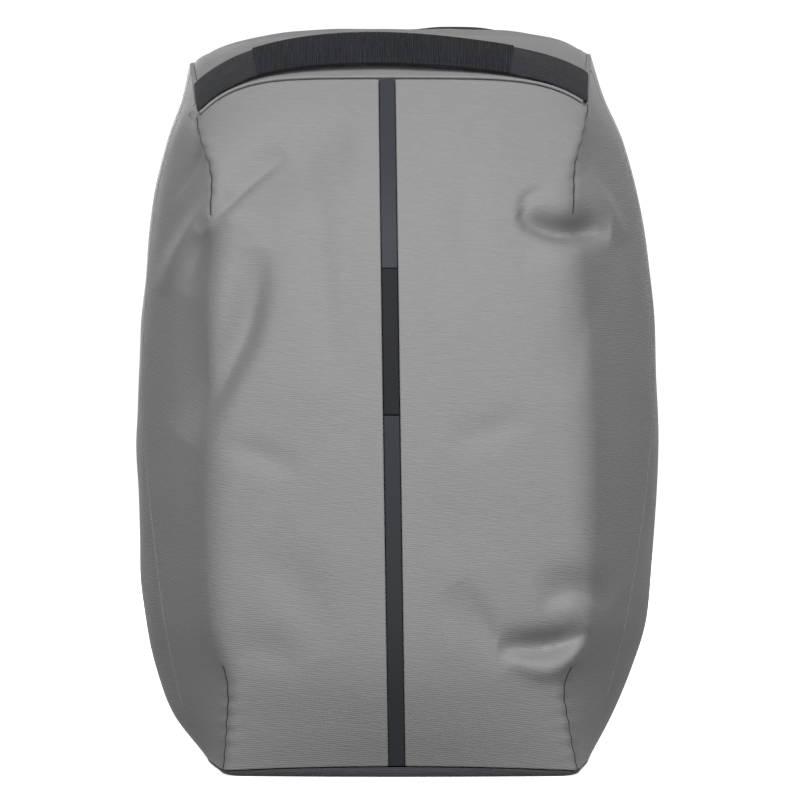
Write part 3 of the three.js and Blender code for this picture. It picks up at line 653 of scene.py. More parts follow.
@dataclass(frozen=True)
class WovenCloth:
    """A dyed woven cloth: threads at a real spacing, uneven in thickness and shade, with a soft sheen."""

    name: str
    light: str
    dark: str
    thread: float
    weave: Weave = Weave.PLAIN
    roughness: float = 0.62
    sheen: float = 0.1
    relief: float = 0.12
    streak: float = 12.0
    cloud: float = 0.06
    specular: float = 0.3
    sharpness: float = 0.6
    yarn_bend: float = 1.7
    yarn_height: float = 3.0
    fuzz: float = 2.2
    shade_range: tuple[float, float] = (0.95, 4.25)

    def material(self) -> bpy.types.Material:
        """Builds the material.

        The thread lines are a sine of the distance up the cloth, and its crossings one of the distance
        across. Uneven yarn is noise stretched along the threads. Slow noise shades the dye. The colour
        follows the relief's height, so the low parts between threads are painted darker as their shade.

        Returns:
            The material.
        """
        made, tree, shader = new_material(self.name)
        place = add_node(tree, "TexCoord")["UV"]
        threads = scaled(tree, place, (METRE / self.thread, METRE / self.thread, 1.0))
        uneven = noise(tree, scaled(tree, threads, (1.0 / self.streak, 1.0, 1.0)), 0.9, 3.0)
        fine = noise(tree, threads, 0.8, 2.0)
        cloudy = noise(tree, place, 22.0, 3.0)
        parts = add_node(tree, "SeparateXYZ", {"Vector": threads})
        slant, crossing = self.weave.value
        up = calculated(tree, "MULTIPLY_ADD", parts["X"], slant, parts["Y"])
        bent = calculated(tree, "MULTIPLY_ADD", uneven, self.yarn_bend, up)
        lines, crossings = (
            calculated(tree, "SINE", calculated(tree, "MULTIPLY", source, math.tau))
            for source in (bent, parts["X"])
        )
        height = calculated(tree, "MULTIPLY_ADD", crossings, crossing, lines)
        height = calculated(tree, "MULTIPLY_ADD", uneven, self.yarn_height, height)
        height = calculated(tree, "MULTIPLY_ADD", fine, self.fuzz, height)
        # Painted shade: the low parts of the relief, between threads, take the dark colour; the yarn noise
        # adds the cloth's own tone.
        shade = ranged(tree, height, self.shade_range)
        clouded = ranged(tree, cloudy, (0.3, 0.7), (-self.cloud, self.cloud))
        fill_inputs(tree, shader, {
            "Base Color": blended(tree, calculated(tree, "ADD", shade, clouded), self.dark, self.light),
            "Normal": bumped(tree, height, self.sharpness, self.relief),
            "Roughness": self.roughness,
            "Specular IOR Level": self.specular,
            "Sheen Weight": self.sheen,
            "Sheen Roughness": 0.4,
        })
        return made


@dataclass(frozen=True)
class SmoothFinish:
    """A smooth skin, coated or moulded, with a fine grain that softens its gloss."""

    name: str
    colour: str
    worn: str
    grain: float
    roughness: float
    relief: float = 0.03
    specular: float = 0.5
    gloss_change: float = 0.06

    def material(self) -> bpy.types.Material:
        """Builds the material: grain from fine noise, and a slow change of shade and gloss.

        Returns:
            The material.
        """
        made, tree, shader = new_material(self.name)
        place = add_node(tree, "TexCoord")["Object"]
        grain = noise(tree, place, METRE / self.grain, 3.0)
        slow = noise(tree, place, 30.0, 2.0)
        gloss = (self.roughness - self.gloss_change, self.roughness + self.gloss_change)
        fill_inputs(tree, shader, {
            "Base Color": blended(tree, slow, self.colour, self.worn),
            "Roughness": ranged(tree, slow, (0.0, 1.0), gloss),
            "Normal": bumped(tree, grain, 0.5, self.relief),
            "Specular IOR Level": self.specular,
        })
        return made


@dataclass(frozen=True)
class SpacerMesh:
    """A knitted spacer mesh: rows of round holes, each set off by half a step from the row below."""

    name: str
    yarn: str
    hole: str
    pitch: float = 3.2
    relief: float = 0.6
    hole_edge: tuple[float, float] = (0.22, 0.38)

    def material(self) -> bpy.types.Material:
        """Builds the material: a cell pattern whose deep middles are the holes.

        Returns:
            The material.
        """
        made, tree, shader = new_material(self.name)
        place = add_node(tree, "TexCoord")["Object"]
        flat = scaled(tree, place, (METRE / self.pitch, 0.0, METRE / self.pitch * 0.8))
        cells = {"Vector": flat, "Scale": 1.0, "Randomness": 0.12}
        distance = add_node(tree, "TexVoronoi", cells, feature="F1")["Distance"]
        open_share = ranged(tree, distance, self.hole_edge)
        # The holes take the dark colour: painted shade inside them, over the black layer behind.
        fill_inputs(tree, shader, {
            "Base Color": blended(tree, open_share, self.hole, self.yarn),
            "Normal": bumped(tree, open_share, 0.8, self.relief),
            "Roughness": 0.85,
            "Specular IOR Level": 0.2,
        })
        return made


@dataclass(frozen=True)
class Plan:
    """The plan of one side of the wall at each height, as arrays with one row for each height."""

    side: int
    height: Array
    middle: Array
    reach: Array
    forward: Array
    crown: Array
    face_end: Array
    knee: Array
    side_start: Array
    side_way: Array
    widest: Array

    def front_at(self, x: Array) -> Array:
        """The y of the front at x: a parabola from the middle back to the front's edges."""
        away = np.minimum(np.abs(x - self.middle) / self.reach, 1.0)
        return -self.forward + self.crown * away**2

    def side_curve(self, t: Array, fullness: float) -> Array:
        """The side from the front corner to the widest point: a cubic curve that ends straight back.

        Args:
            t: Shares of the curve.
            fullness: How roundly it meets the widest point.

        Returns:
            The points of the plan.
        """
        length = np.linalg.norm(self.widest - self.side_start, axis=-1, keepdims=True) * fullness
        a, d = self.side_start, self.widest
        b = a + self.side_way * length / 3
        c = d - np.array([0.0, 1.0]) * length / 3
        t = t[..., None]
        return (1 - t) ** 3 * a + 3 * (1 - t) ** 2 * t * b + 3 * (1 - t) * t**2 * c + t**3 * d


@dataclass(frozen=True)
class Form:
    """The bag's form: the sections of its wall, its top edge, its seams and the folds in its front."""

    front_height: float = 399.7
    top_climb: float = 40.3
    width: float = 310.0
    depth: float = 184.0
    wall: float = 2.0
    gap: float = 0.3
    side_fullness: float = 0.9
    roll_drop: float = 12.0
    roll_turn: float = math.pi / 3
    zip_width: float = 4.0
    base_rise: float = 6.0
    base_dip: float = 3.0
    drop_fade: float = 8.0
    top_steepness: float = 2.7
    band_width: float = 9.0
    corner_front: tuple[float, float] = (23.2, 16.4)
    corner_ease: float = 0.45
    corner_least: float = 2.4
    corner_back: tuple[float, float] = (21.0, 16.0)
    power_front: tuple[float, float] = (5.5, 5.5)
    power_back: tuple[float, float] = (3.5, 5.0)
    sections: Table = Table(
        (
            "height", "side_left", "side_right", "front_left", "front_right", "forward", "crown", "widest",
            "corner",
        ),
        (
            (0, 0.73, 0.728, 0.648, 0.664, 0.815, 0.03, 0.3, 0.03),
            (0.06, 0.855, 0.817, 0.632, 0.632, 0.886, 0.055, 0.3, 0.038),
            (0.13, 0.927, 0.894, 0.619, 0.606, 0.95, 0.07, 0.305, 0.052),
            (0.21, 0.972, 0.948, 0.671, 0.69, 0.983, 0.076, 0.305, 0.077),
            (0.365, 0.996, 0.986, 0.684, 0.703, 1, 0.076, 0.3, 0.09),
            (0.52, 1, 0.996, 0.671, 0.69, 0.995, 0.076, 0.283, 0.097),
            (0.67, 0.976, 0.97, 0.671, 0.665, 0.957, 0.076, 0.27, 0.09),
            (0.79, 0.94, 0.925, 0.677, 0.637, 0.897, 0.076, 0.25, 0.065),
            (0.87, 0.896, 0.866, 0.692, 0.65, 0.826, 0.076, 0.228, 0.045),
            (0.935, 0.838, 0.79, 0.738, 0.692, 0.745, 0.076, 0.2, 0.03),
            (1, 0.806, 0.742, 0.76, 0.716, 0.652, 0.076, 0.16, 0.02),
        ),
    )
    band_lean: tuple[float, float] = (-0.005, -0.042)
    side_seam: Table = Table(
        ("height", "inset"),
        (
            (0, 0.018), (0.07, 0.033), (0.175, 0.047), (0.29, 0.04), (0.4, 0.027), (0.5, 0.017),
            (0.62, 0.01), (1, 0.007),
        ),
    )

    @property
    def tall(self) -> float:
        """The height of the cloth wall at the middle of the front."""
        return self.front_height - self.base_rise

    def rows(self, count: int = 268) -> Array:
        """The heights of a panel's rows, closer together at its two ends."""
        return with_edges(count, self.tall, True, True)

    def plan(self, side: int, height: Array) -> Plan:
        """The plan of one side at each height, read from the sections.

        Args:
            side: -1 for the left and 1 for the right.
            height: Shares of the wall's height.

        Returns:
            The plan, with one row for each height.
        """
        height = np.asarray(height, float).reshape(-1, 1)
        half = self.width / 2
        word = "left" if side < 0 else "right"

        def read(name: str) -> Array:
            """One column of the sections at these heights."""
            return self.sections.read(name, height)

        middle = mix(self.band_lean[0], self.band_lean[1], height) * half
        widest_x = side * read(f"side_{word}") * half
        edge_x = side * read(f"front_{word}") * half
        forward, crown = read("forward") * self.depth, read("crown") * self.depth
        radius = read("corner") * self.width * self.corner_ease + self.corner_least
        reach = np.abs(edge_x - middle)
        end_x = edge_x - side * radius
        end_y = -forward + crown * np.minimum(np.abs(end_x - middle) / reach, 1.0) ** 2
        slope = 2 * crown * (reach - radius) / reach**2
        face_end = np.stack([end_x, end_y], -1)
        knee = np.stack([edge_x, end_y + slope * radius], -1)
        widest = np.stack([widest_x, -read("widest") * self.depth], -1)
        way = unit(widest - knee)
        start = knee + way * radius[..., None]
        return Plan(side, height, middle, reach, forward, crown, face_end, knee, start, way, widest)

    def point(self, plan: Plan, zone: Zone, t: Array) -> Array:
        """Points of the plan: straight shares of the face, a parabola round the corner, the side's curve, or
        a stretch of an ellipse that rolls in to the back edge.

        Args:
            plan: The plan.
            zone: Which stretch of it.
            t: Shares of that stretch, as a row or as one row for each height.

        Returns:
            The points, in rows and columns.
        """
        t = np.broadcast_to(t, (len(plan.height), np.shape(t)[-1]))
        if zone is Zone.FACE:
            start = plan.middle + plan.side * (self.band_width / 2 + self.gap)
            x = mix(start, plan.face_end[..., 0], t)
            return np.stack([x, plan.front_at(x)], -1)
        if zone is Zone.CORNER:
            s = t[..., None]
            return (1 - s) ** 2 * plan.face_end + 2 * (1 - s) * s * plan.knee + s**2 * plan.side_start
        if zone is Zone.SIDE:
            return plan.side_curve(t, self.side_fullness)
        across = self.roll_drop / (1 - math.cos(self.roll_turn))
        wx, wy = plan.widest[..., 0], plan.widest[..., 1]
        reach = (-self.zip_width - wy) / math.sin(self.roll_turn)
        turn = self.roll_turn * t
        return np.stack([wx - plan.side * across * (1 - np.cos(turn)), wy + reach * np.sin(turn)], -1)

    def rise(self, plan: Plan, x: Array, y: Array) -> Array:
        """The height of points of the wall: it climbs to the back near the top, and its corners drop.

        Args:
            plan: The plan of that side.
            x: The points' x.
            y: The points' y.

        Returns:
            Their z.
        """
        h = plan.height
        front = plan.front_at(x)
        back = np.clip((y - front) / -front, 0.0, 1.0)
        climb = self.top_climb * h**3 * (1 - (1 - back) ** self.top_steepness)
        edge = mix(plan.reach, np.abs(plan.widest[..., 0] - plan.middle), back)
        away = np.abs(x - plan.middle)
        left = x < plan.middle
        power = np.where(
            left, mix(self.power_front[0], self.power_back[0], back),
            mix(self.power_front[1], self.power_back[1], back),
        )
        deepest = np.where(
            left, mix(self.corner_front[0], self.corner_back[0], back),
            mix(self.corner_front[1], self.corner_back[1], back),
        )
        drop = deepest * h**self.drop_fade * np.minimum(away / edge, 1.0) ** power
        dip = self.base_dip * (1 - h) ** self.drop_fade * np.minimum(away / plan.reach, 1.0) ** 2
        return self.base_rise + self.tall * h + climb - drop - dip

    def wall_points(self, side: int, height: Array, zone: Zone, t: Array) -> Array:
        """Points of the wall in space.

        Args:
            side: -1 or 1.
            height: Shares of the wall's height.
            zone: The stretch of its plan.
            t: Shares of that stretch.

        Returns:
            The points, in rows and columns.
        """
        plan = self.plan(side, height)
        at = self.point(plan, zone, t)
        return np.dstack([at, self.rise(plan, at[..., 0], at[..., 1])])

    def seam_share(self, side: int, height: Array, way: int) -> Array:
        """Where the side seam cuts the side's curve, found by halving, and half a gap before or past it.

        Args:
            side: -1 or 1.
            height: Shares of the wall's height.
            way: -1 for just before the seam and 1 for just past it.

        Returns:
            One share of the side's curve for each height.
        """
        plan = self.plan(side, height)
        inset = self.side_seam.read("inset", plan.height) * self.width
        before, after = np.zeros_like(plan.height), np.ones_like(plan.height)
        for _ in range(HALVINGS):
            middle = (before + after) / 2
            far = np.abs(plan.widest[..., 0] - plan.side_curve(middle, self.side_fullness)[..., 0]) > inset
            before, after = np.where(far, middle, before), np.where(far, after, middle)
        t = np.broadcast_to(np.linspace(0, 1, 30), (len(plan.height), 30))
        length = arc(plan.side_curve(t, self.side_fullness), 1)[:, -1:]
        return before + way * self.gap / 2 / length

    def wall_edge(self, side: int, height: float, counts: tuple[int, int, int, int]) -> Array:
        """The edge of the wall at one height, from the band to the back.

        Args:
            side: -1 or 1.
            height: The share of the wall's height.
            counts: The steps of the face, corner, side and roll.

        Returns:
            The points in order.
        """
        row = np.array([height])
        lines = [
            self.wall_points(side, row, zone, np.linspace(0, 1, count + 1))[0]
            for zone, count in zip(Zone, counts)
        ]
        return np.vstack([lines[0], *[line[1:] for line in lines[1:]]])

    def back_line(self, height: Array, count: int) -> Array:
        """The back edge of the bag from left to right at each height, with its y at 0.

        Args:
            height: Shares of the wall's height.
            count: The steps across.

        Returns:
            The points, in rows and columns.
        """
        height = np.asarray(height, float)
        plans = [self.plan(side, height) for side in (-1, 1)]
        left, right = (self.point(plan, Zone.ROLL, np.ones(1))[..., 0] for plan in plans)
        x = mix(left, right, np.linspace(0, 1, count + 1)[None])
        y = np.full_like(x, -self.zip_width)
        z = np.where(x < plans[0].middle, self.rise(plans[0], x, y), self.rise(plans[1], x, y))
        return np.stack([x, np.zeros_like(x), z], -1)

    def shift(self) -> Array:
        """Where the bag's own origin lies in the row's frame, from the back panel's box.

        Returns:
            The three coordinates, in millimetres.
        """
        low, high = (np.array(corner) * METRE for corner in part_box("back_panel"))
        line = self.back_line(np.linspace(0, 1, 201), 1)
        centre = (line[..., 0].min() + line[..., 0].max()) / 2
        return np.array([(low[0] + high[0]) / 2 - centre, low[1], 0.0])


@dataclass(frozen=True)
class TopPatch:
    """The lid's surface, blended from four edges that lie a wall and a gap inside the walls."""

    front: Array
    rear: Array
    left: Array
    right: Array

    @staticmethod
    def of(form: Form) -> TopPatch:
        """Works the four edges out from the walls' top edge, moved inwards with mitred corners.

        Args:
            form: The bag's form.

        Returns:
            The patch.
        """
        counts = (45, 12, 14, 8)
        left, right = (form.wall_edge(side, 1.0, counts) for side in (-1, 1))
        corner = counts[0] + counts[1] // 2
        clearance = form.wall + form.gap
        for edge in (left, right):
            step = edge[-1] - edge[-2]
            reached = edge[-1] + step / step[1] * clearance
            reached[2] = edge[-1][2]
            edge[-1] = reached
        back = form.back_line(np.array([1.0]), 2 * corner + 1)[0][1:-1][::-1].copy()
        back[:, 1] = -form.zip_width + clearance
        back = back[(back[:, 0] > left[-1, 0] + clearance) & (back[:, 0] < right[-1, 0] - clearance)]
        loop = TopPatch.inset(np.vstack([left[::-1], right, back]), clearance)
        seam = len(left) - 1
        return TopPatch(
            front=loop[seam - corner : seam + corner + 2],
            rear=np.vstack([loop[0], loop[2 * seam + 2 :][::-1], loop[2 * seam + 1]]),
            left=loop[: seam - corner + 1][::-1],
            right=loop[seam + corner + 1 : 2 * seam + 2],
        )

    @staticmethod
    def inset(loop: Array, distance: float) -> Array:
        """A loop moved inwards in plan, each corner along the sum of its two normals.

        Args:
            loop: The points of the loop.
            distance: How far each side moves.

        Returns:
            The new loop.
        """
        step = np.roll(loop, -1, 0)[:, :2] - loop[:, :2]
        normal = unit(np.stack([-step[:, 1], step[:, 0]], -1))
        before = np.roll(normal, 1, 0)
        total = normal + before
        scale = distance / (1 + np.sum(normal * before, -1))
        towards = np.sum(total * (loop[:, :2].mean(0) - loop[:, :2]), -1)
        moved = loop.copy()
        moved[:, :2] += total * (scale * np.sign(towards))[:, None]
        return moved

    def points(self, s: Array, t: Array) -> Array:
        """The surface at shares s from left to right and t from the seam to the back.

        It is the sum of two blends, front to rear and left to right, less the blend of the corners.

        Args:
            s: Shares from left to right.
            t: Shares from the seam to the back.

        Returns:
            The points, in rows and columns.
        """
        s, t = np.broadcast_arrays(s, t)
        side_share = t[..., None]
        across = s[..., None]
        front, rear = (along(line, s.ravel()).reshape(*s.shape, 3) for line in (self.front, self.rear))
        left, right = (along(line, t.ravel()).reshape(*s.shape, 3) for line in (self.left, self.right))
        front_ends, rear_ends = (mix(line[0], line[-1], across) for line in (self.front, self.rear))
        corners = mix(front_ends, rear_ends, side_share)
        return mix(front, rear, side_share) + mix(left, right, across) - corners


@dataclass(frozen=True)
class Fold:
    """A groove in the front along a curved line, or a ridge where its depth is below 0.

    Its points are shares: x of half the bag's width, and z of the wall's height. Its reach on the left and
    on the right of its way, and its depth, are shares of the bag's width. A high power gives it a round
    bottom, and a low one a crease. It stays deep closer to its ends where blunt is below 1.
    """

    line: tuple[tuple[float, float], ...]
    left: float
    right: float
    depth: float
    power: float = 2.0
    blunt: float = 1.0

    def pressed(self, x: Array, z: Array, form: Form) -> Array:
        """How far the fold presses the cloth in.

        The depth falls off as a bell curve of the distance to the line, with one reach on each side, and
        follows a power of a half sine along it, so that both ends run out.

        Args:
            x: The points' x.
            z: The points' z.
            form: The bag's form.

        Returns:
            The depth at each point.
        """
        corners = np.array(self.line) * [form.width / 2, form.tall] + [0.0, form.base_rise]
        path = catmull(np.column_stack([corners, np.zeros(len(corners))]), FOLD_STEPS)[:, :2]
        step = np.diff(path, axis=0)
        dx, dz = x[..., None] - path[:-1, 0], z[..., None] - path[:-1, 1]
        share = np.clip((dx * step[:, 0] + dz * step[:, 1]) / np.sum(step**2, -1), 0.0, 1.0)
        off_x, off_z = dx - share * step[:, 0], dz - share * step[:, 1]
        far = np.hypot(off_x, off_z)
        nearest = far.argmin(-1)[..., None]

        def take(values: Array) -> Array:
            """Each point's value at its nearest stretch of the line."""
            return np.take_along_axis(values, nearest, -1)[..., 0]

        turn = np.sign(take(step[:, 0] * off_z - step[:, 1] * off_x))
        reach = np.where(turn > 0, self.left, self.right) * form.width
        t = (nearest[..., 0] + take(share)) / len(step)
        strength = np.sin(math.pi * np.clip(t, 0.0, 1.0)) ** self.blunt
        return self.depth * form.width * strength * np.exp(-((take(far) / reach) ** self.power))


@dataclass
class ClothWalls:
    """The grey cloth: two front panels with their darts and folds, two gussets, the top and its piping."""

    form: Form
    shop: Workshop
    cloth: bpy.types.Material
    piping_cloth: bpy.types.Material
    # The dark thread along the darts: painted shadow in their creases.
    thread: bpy.types.Material
    face_steps: int = 78
    corner_steps: int = 30
    side_steps: int = 46
    dart_depth: float = 1.2
    dart_half_width: float = 4.5
    dart_place: float = 0.72
    crease_depth: float = 1.0
    crease_half_width: float = 0.8
    overlap_depth: float = 1.7
    overlap_reach: float = 9.0
    dart_shadow_thickness: float = 1.15
    pucker_depth: float = 0.35
    pucker_length: float = 9.0
    band_fade: tuple[float, float] = (8.0, 30.0)
    seam_fade: float = 18.0
    end_fade: float = 0.12
    unevenness: float = 0.28
    swell_length: float = 46.0
    lining: float = 0.2
    seam_least: float = 0.08
    seam_above: float = 0.2
    seam_ends: tuple[float, float] = (0.06, 0.94)
    seam_fullness: float = 0.4
    gusset_rows: int = 180
    gusset_unevenness: float = 0.5
    gusset_swell_length: float = 60.0
    gusset_fade: float = 12.0
    gusset_end_fade: float = 0.1
    lid_unevenness: float = 0.3
    lid_swell_length: float = 40.0
    top_dart: tuple[float, float] = (0.795, 1.03)
    bottom_dart: tuple[float, float] = (0.155, -0.02)
    fold_straightness: float = 0.75
    hem_radius: float = 0.9
    lid_hem_radius: float = 1.0
    piping_radius: float = 0.9
    folds: tuple[Fold, ...] = (
        Fold(
            (
                (-0.507, 0.749), (-0.528, 0.678), (-0.565, 0.624), (-0.619, 0.578), (-0.691, 0.527),
                (-0.786, 0.471),
            ),
            0.027, 0.045, 0.0419,
        ),
        Fold(
            ((0.44, 0.8), (0.512, 0.78), (0.61, 0.771), (0.7, 0.773), (0.792, 0.773)),
            0.032, 0.016, 0.0419, 2, 0.85,
        ),
        Fold(((0.455, 0.783), (0.541, 0.773), (0.65, 0.77), (0.747, 0.78)), 0.021, 0.010, 0.0129, 2, 0.8),
        Fold(((0.469, 0.74), (0.621, 0.733), (0.806, 0.748)), 0.026, 0.045, -0.0103),
        Fold(((0.48, 0.766), (0.455, 0.797), (0.476, 0.823), (0.57, 0.837)), 0.011, 0.013, 0.0090),
        Fold(((0.693, 0.863), (0.769, 0.824), (0.858, 0.76)), 0.015, 0.042, -0.0142),
        Fold(((0.361, 0.177), (0.484, 0.172), (0.592, 0.177), (0.7, 0.199)), 0.032, 0.015, 0.0355, 2, 0.85),
        Fold(((0.397, 0.167), (0.523, 0.143), (0.614, 0.154), (0.708, 0.194)), 0.023, 0.019, -0.0110),
        Fold(((0.505, 0.242), (0.639, 0.256), (0.799, 0.235)), 0.042, 0.019, 0.0177),
        Fold(((0.209, 0.271), (0.303, 0.209), (0.411, 0.148)), 0.026, 0.039, 0.0110),
        Fold(
            ((-0.742, 0.777), (-0.637, 0.806), (-0.55, 0.843), (-0.409, 0.888)),
            0.029, 0.010, 0.0181, 1.5, 0.8,
        ),
        Fold(
            ((-0.637, 0.82), (-0.492, 0.864), (-0.355, 0.891), (-0.153, 0.939)),
            0.055, 0.077, 0.0274, 2, 0.9,
        ),
        Fold(((-0.622, 0.837), (-0.723, 0.798), (-0.801, 0.756), (-0.897, 0.681)), 0.018, 0.023, -0.0194),
        Fold(((-0.63, 0.794), (-0.719, 0.756), (-0.793, 0.684)), 0.032, 0.013, 0.0148),
        Fold(((-0.712, 0.903), (-0.779, 0.865), (-0.86, 0.824)), 0.008, 0.008, 0.0071, 1.5),
        Fold(((-0.326, 0.9), (-0.294, 0.793), (-0.268, 0.686), (-0.236, 0.544)), 0.029, 0.029, 0.0077),
        Fold(((-0.167, 0.793), (-0.153, 0.686), (-0.167, 0.587)), 0.026, 0.026, 0.0039),
        Fold(((-0.659, 0.47), (-0.492, 0.45), (-0.333, 0.424)), 0.026, 0.026, 0.0065),
        Fold(((0.169, 0.473), (0.332, 0.487), (0.491, 0.513)), 0.026, 0.026, 0.0048),
        Fold(((0.267, 0.871), (0.245, 0.793), (0.281, 0.707)), 0.029, 0.029, 0.0065),
        Fold(((-0.536, 0.323), (-0.355, 0.259), (-0.275, 0.16)), 0.045, 0.045, 0.0065),
        Fold(((-0.622, 0.16), (-0.492, 0.174), (-0.319, 0.148)), 0.039, 0.032, 0.0052),
        Fold(((0.732, 0.687), (0.65, 0.608), (0.635, 0.53)), 0.026, 0.052, 0.0065),
    )

    def build(self) -> None:
        """Makes the front panels, gussets, top and piping."""
        for side in Side:
            self.front(side)
            self.gusset(side)
        self.top()
        self.piping()

    def dart(self, heights: Array, span: tuple[float, float]) -> Array:
        """A dart's strength at each height: a half sine from its tip to its sewn end."""
        share = (heights - span[0]) / (span[1] - span[0])
        return np.where((share > 0) & (share < 1), np.sin(math.pi * np.clip(share, 0, 1)), 0.0)

    def front(self, side: Side) -> None:
        """One front panel, from the centre band round the front edge to the side seam.

        The plain wall is moved in along its normals by the darts, the turned-in hems and a slight
        unevenness, and nearly straight back by the folds. A dart is a wide soft hollow with a narrow crease
        along its middle, and past the crease the cloth lies lower, as one layer under the other. Its seam
        is a thread along the crease, thickest at its middle by a power of a half sine, and its dark colour
        is painted shadow in the crease.

        Args:
            side: The side of the bag.
        """
        form, heights = self.form, self.form.rows()
        seam = form.seam_share(side.value, heights, -1)
        face = with_edges(self.face_steps, 90.0, True, False)
        corner = np.linspace(0, 1, self.corner_steps + 1)
        rest = with_edges(self.side_steps, 80.0, False, True)
        grid = np.hstack([
            form.wall_points(side.value, heights, Zone.FACE, face),
            form.wall_points(side.value, heights, Zone.CORNER, corner)[:, 1:],
            form.wall_points(side.value, heights, Zone.SIDE, rest[1:] * seam),
        ])
        out = surface_normals(grid, side.value)
        flat = arc(grid, 1)
        column = len(face) + round(self.dart_place * self.corner_steps)
        x, z = grid[..., 0], grid[..., 2]
        h = heights[:, None]
        clear = np.abs(x - form.plan(side.value, heights).middle)
        fade = smooth(clear, *self.band_fade) * smooth(flat[:, -1:] - flat, 0.0, self.seam_fade)
        fade = fade * smooth(h, 0.0, self.end_fade) * smooth(1 - h, 0.0, self.end_fade)
        off_dart = np.linalg.norm(grid - grid[:, column : column + 1], axis=-1)
        sewn = self.dart(h, self.top_dart) + self.dart(h, self.bottom_dart)
        wide = self.dart_depth * sewn * np.exp(-((off_dart / self.dart_half_width) ** 2))
        crease = self.crease_depth * np.sqrt(sewn) * np.exp(-((off_dart / self.crease_half_width) ** 1.5))
        below = self.overlap_depth * np.sqrt(sewn) * np.exp(-((off_dart / self.overlap_reach) ** 2))
        below = below * (np.arange(grid.shape[1]) > column)
        pucker = self.pucker_depth * sewn * np.exp(-((off_dart / self.overlap_reach) ** 2))
        pucker = pucker * np.sin(math.tau * z / self.pucker_length + 2.0)
        pressed = sum(fold.pressed(x, z, form) for fold in self.folds) * fade
        pressed_way = unit(mix(out, -BACKWARD, self.fold_straightness))
        uneven = self.unevenness * ripple(flat * side.value, z, self.swell_length) * fade
        up = np.broadcast_to(h * form.tall, flat.shape)
        inward = wide + crease + below + pucker + uneven + hems(flat, up, self.hem_radius)
        face_grid = grid - out * inward[..., None] - pressed_way * pressed[..., None]
        inner = face_grid - out * (form.wall - self.lining)
        cloth = np.stack([flat * side.value, up], -1)
        self.shop.piece(
            f"front_cloth_{side.word}", shell(face_grid, inner, cloth), self.cloth,
            [f"front_panel_{side.word}"], "grey_polyester",
        )
        bottom, normal = face_grid[:, column], out[:, column]
        seams = []
        for span in (self.top_dart, self.bottom_dart):
            rows = self.dart(heights, span) > self.seam_least
            path = bottom[rows] + normal[rows] * self.dart_shadow_thickness * self.seam_above
            full = np.sin(math.pi * np.linspace(*self.seam_ends, len(path))) ** self.seam_fullness
            full = full * self.dart_shadow_thickness
            seams.append(swept(path, normal[rows], rounded_section(full, full, 8, 2.0)))
        # The seams are coloured dark: painted shadow along each dart's crease.
        self.shop.piece(f"dart_shadow_seams_{side.word}", joined(seams), self.thread, [], "grey_polyester")

    def gusset(self, side: Side) -> None:
        """One gusset, from just past the side seam round the roll to the back edge.

        Args:
            side: The side of the bag.
        """
        form, heights = self.form, self.form.rows(self.gusset_rows)
        seam = form.seam_share(side.value, heights, 1)
        share = with_edges(16, 40.0, True, False)
        grid = np.hstack([
            form.wall_points(side.value, heights, Zone.SIDE, mix(seam, 1.0, share)),
            form.wall_points(side.value, heights, Zone.ROLL, with_edges(22, 70.0, False, True)[1:]),
        ])
        out = surface_normals(grid, side.value)
        flat = arc(grid, 1)
        h = heights[:, None]
        fade = smooth(flat, 0.0, self.gusset_fade) * smooth(flat[:, -1:] - flat, 0.0, self.gusset_fade)
        fade = fade * smooth(h, 0, self.gusset_end_fade) * smooth(1 - h, 0, self.gusset_end_fade)
        fade = fade * self.gusset_unevenness
        uneven = fade * ripple(flat, grid[..., 2], self.gusset_swell_length, RIPPLE_SEED + side.value)
        up = np.broadcast_to(h * form.tall, flat.shape)
        face_grid = grid - out * (uneven + hems(flat, up, self.hem_radius))[..., None]
        inner = face_grid - out * (form.wall - self.lining)
        self.shop.piece(
            f"gusset_cloth_{side.word}", shell(face_grid, inner, np.stack([flat, up], -1)), self.cloth,
            [f"side_gusset_{side.word}"], "grey_polyester",
        )

    def top(self) -> None:
        """The lid: a patch blended from its four edges, which lie just inside the walls.

        Its front hem turns down to the seam, and its surface is slightly uneven.
        """
        lid = TopPatch.of(self.form)
        s, t = with_edges(120, 230.0, True, True), with_edges(58, 110.0, True, True)
        grid = lid.points(s[None, :], t[:, None])
        out = surface_normals(grid, 1)
        over, up = arc(grid, 1), arc(grid, 0)
        fade = smooth(over, 0, 14) * smooth(over[:, -1:] - over, 0, 14) * smooth(up, 0, 12)
        uneven = ripple(grid[..., 0], grid[..., 1], self.lid_swell_length, RIPPLE_SEED + 3)
        uneven = uneven * fade * self.lid_unevenness
        face_grid = grid - out * (uneven + hems(over, up, self.lid_hem_radius))[..., None]
        cloth = np.stack([over, up], -1)
        inner = face_grid - out * (self.form.wall - self.lining)
        self.shop.piece(
            "top_cloth", shell(face_grid, inner, cloth), self.cloth, ["top_panel"], "grey_polyester"
        )

    def piping(self) -> None:
        """The rolled edge along the top seam: a round section carried along the walls' top edge."""
        form = self.form
        face, past_corner = 60, 6
        edges = [form.wall_edge(side, 1.0, (face, 20, 1, 1))[: face + past_corner] for side in (-1, 1)]
        line = np.vstack([edges[0][::-1], edges[1]])
        line = catmull(line[::4], 260)
        line = line + np.array([0.0, self.piping_radius / 2, form.gap + self.piping_radius])
        turn = np.linspace(0, math.tau, 12, endpoint=False)
        section = np.stack([np.cos(turn), np.sin(turn)], -1) * self.piping_radius
        self.shop.piece(
            "seam_piping", swept(line, BACKWARD, section), self.piping_cloth, ["top_seam_piping"],
            "grey_polyester",
        )


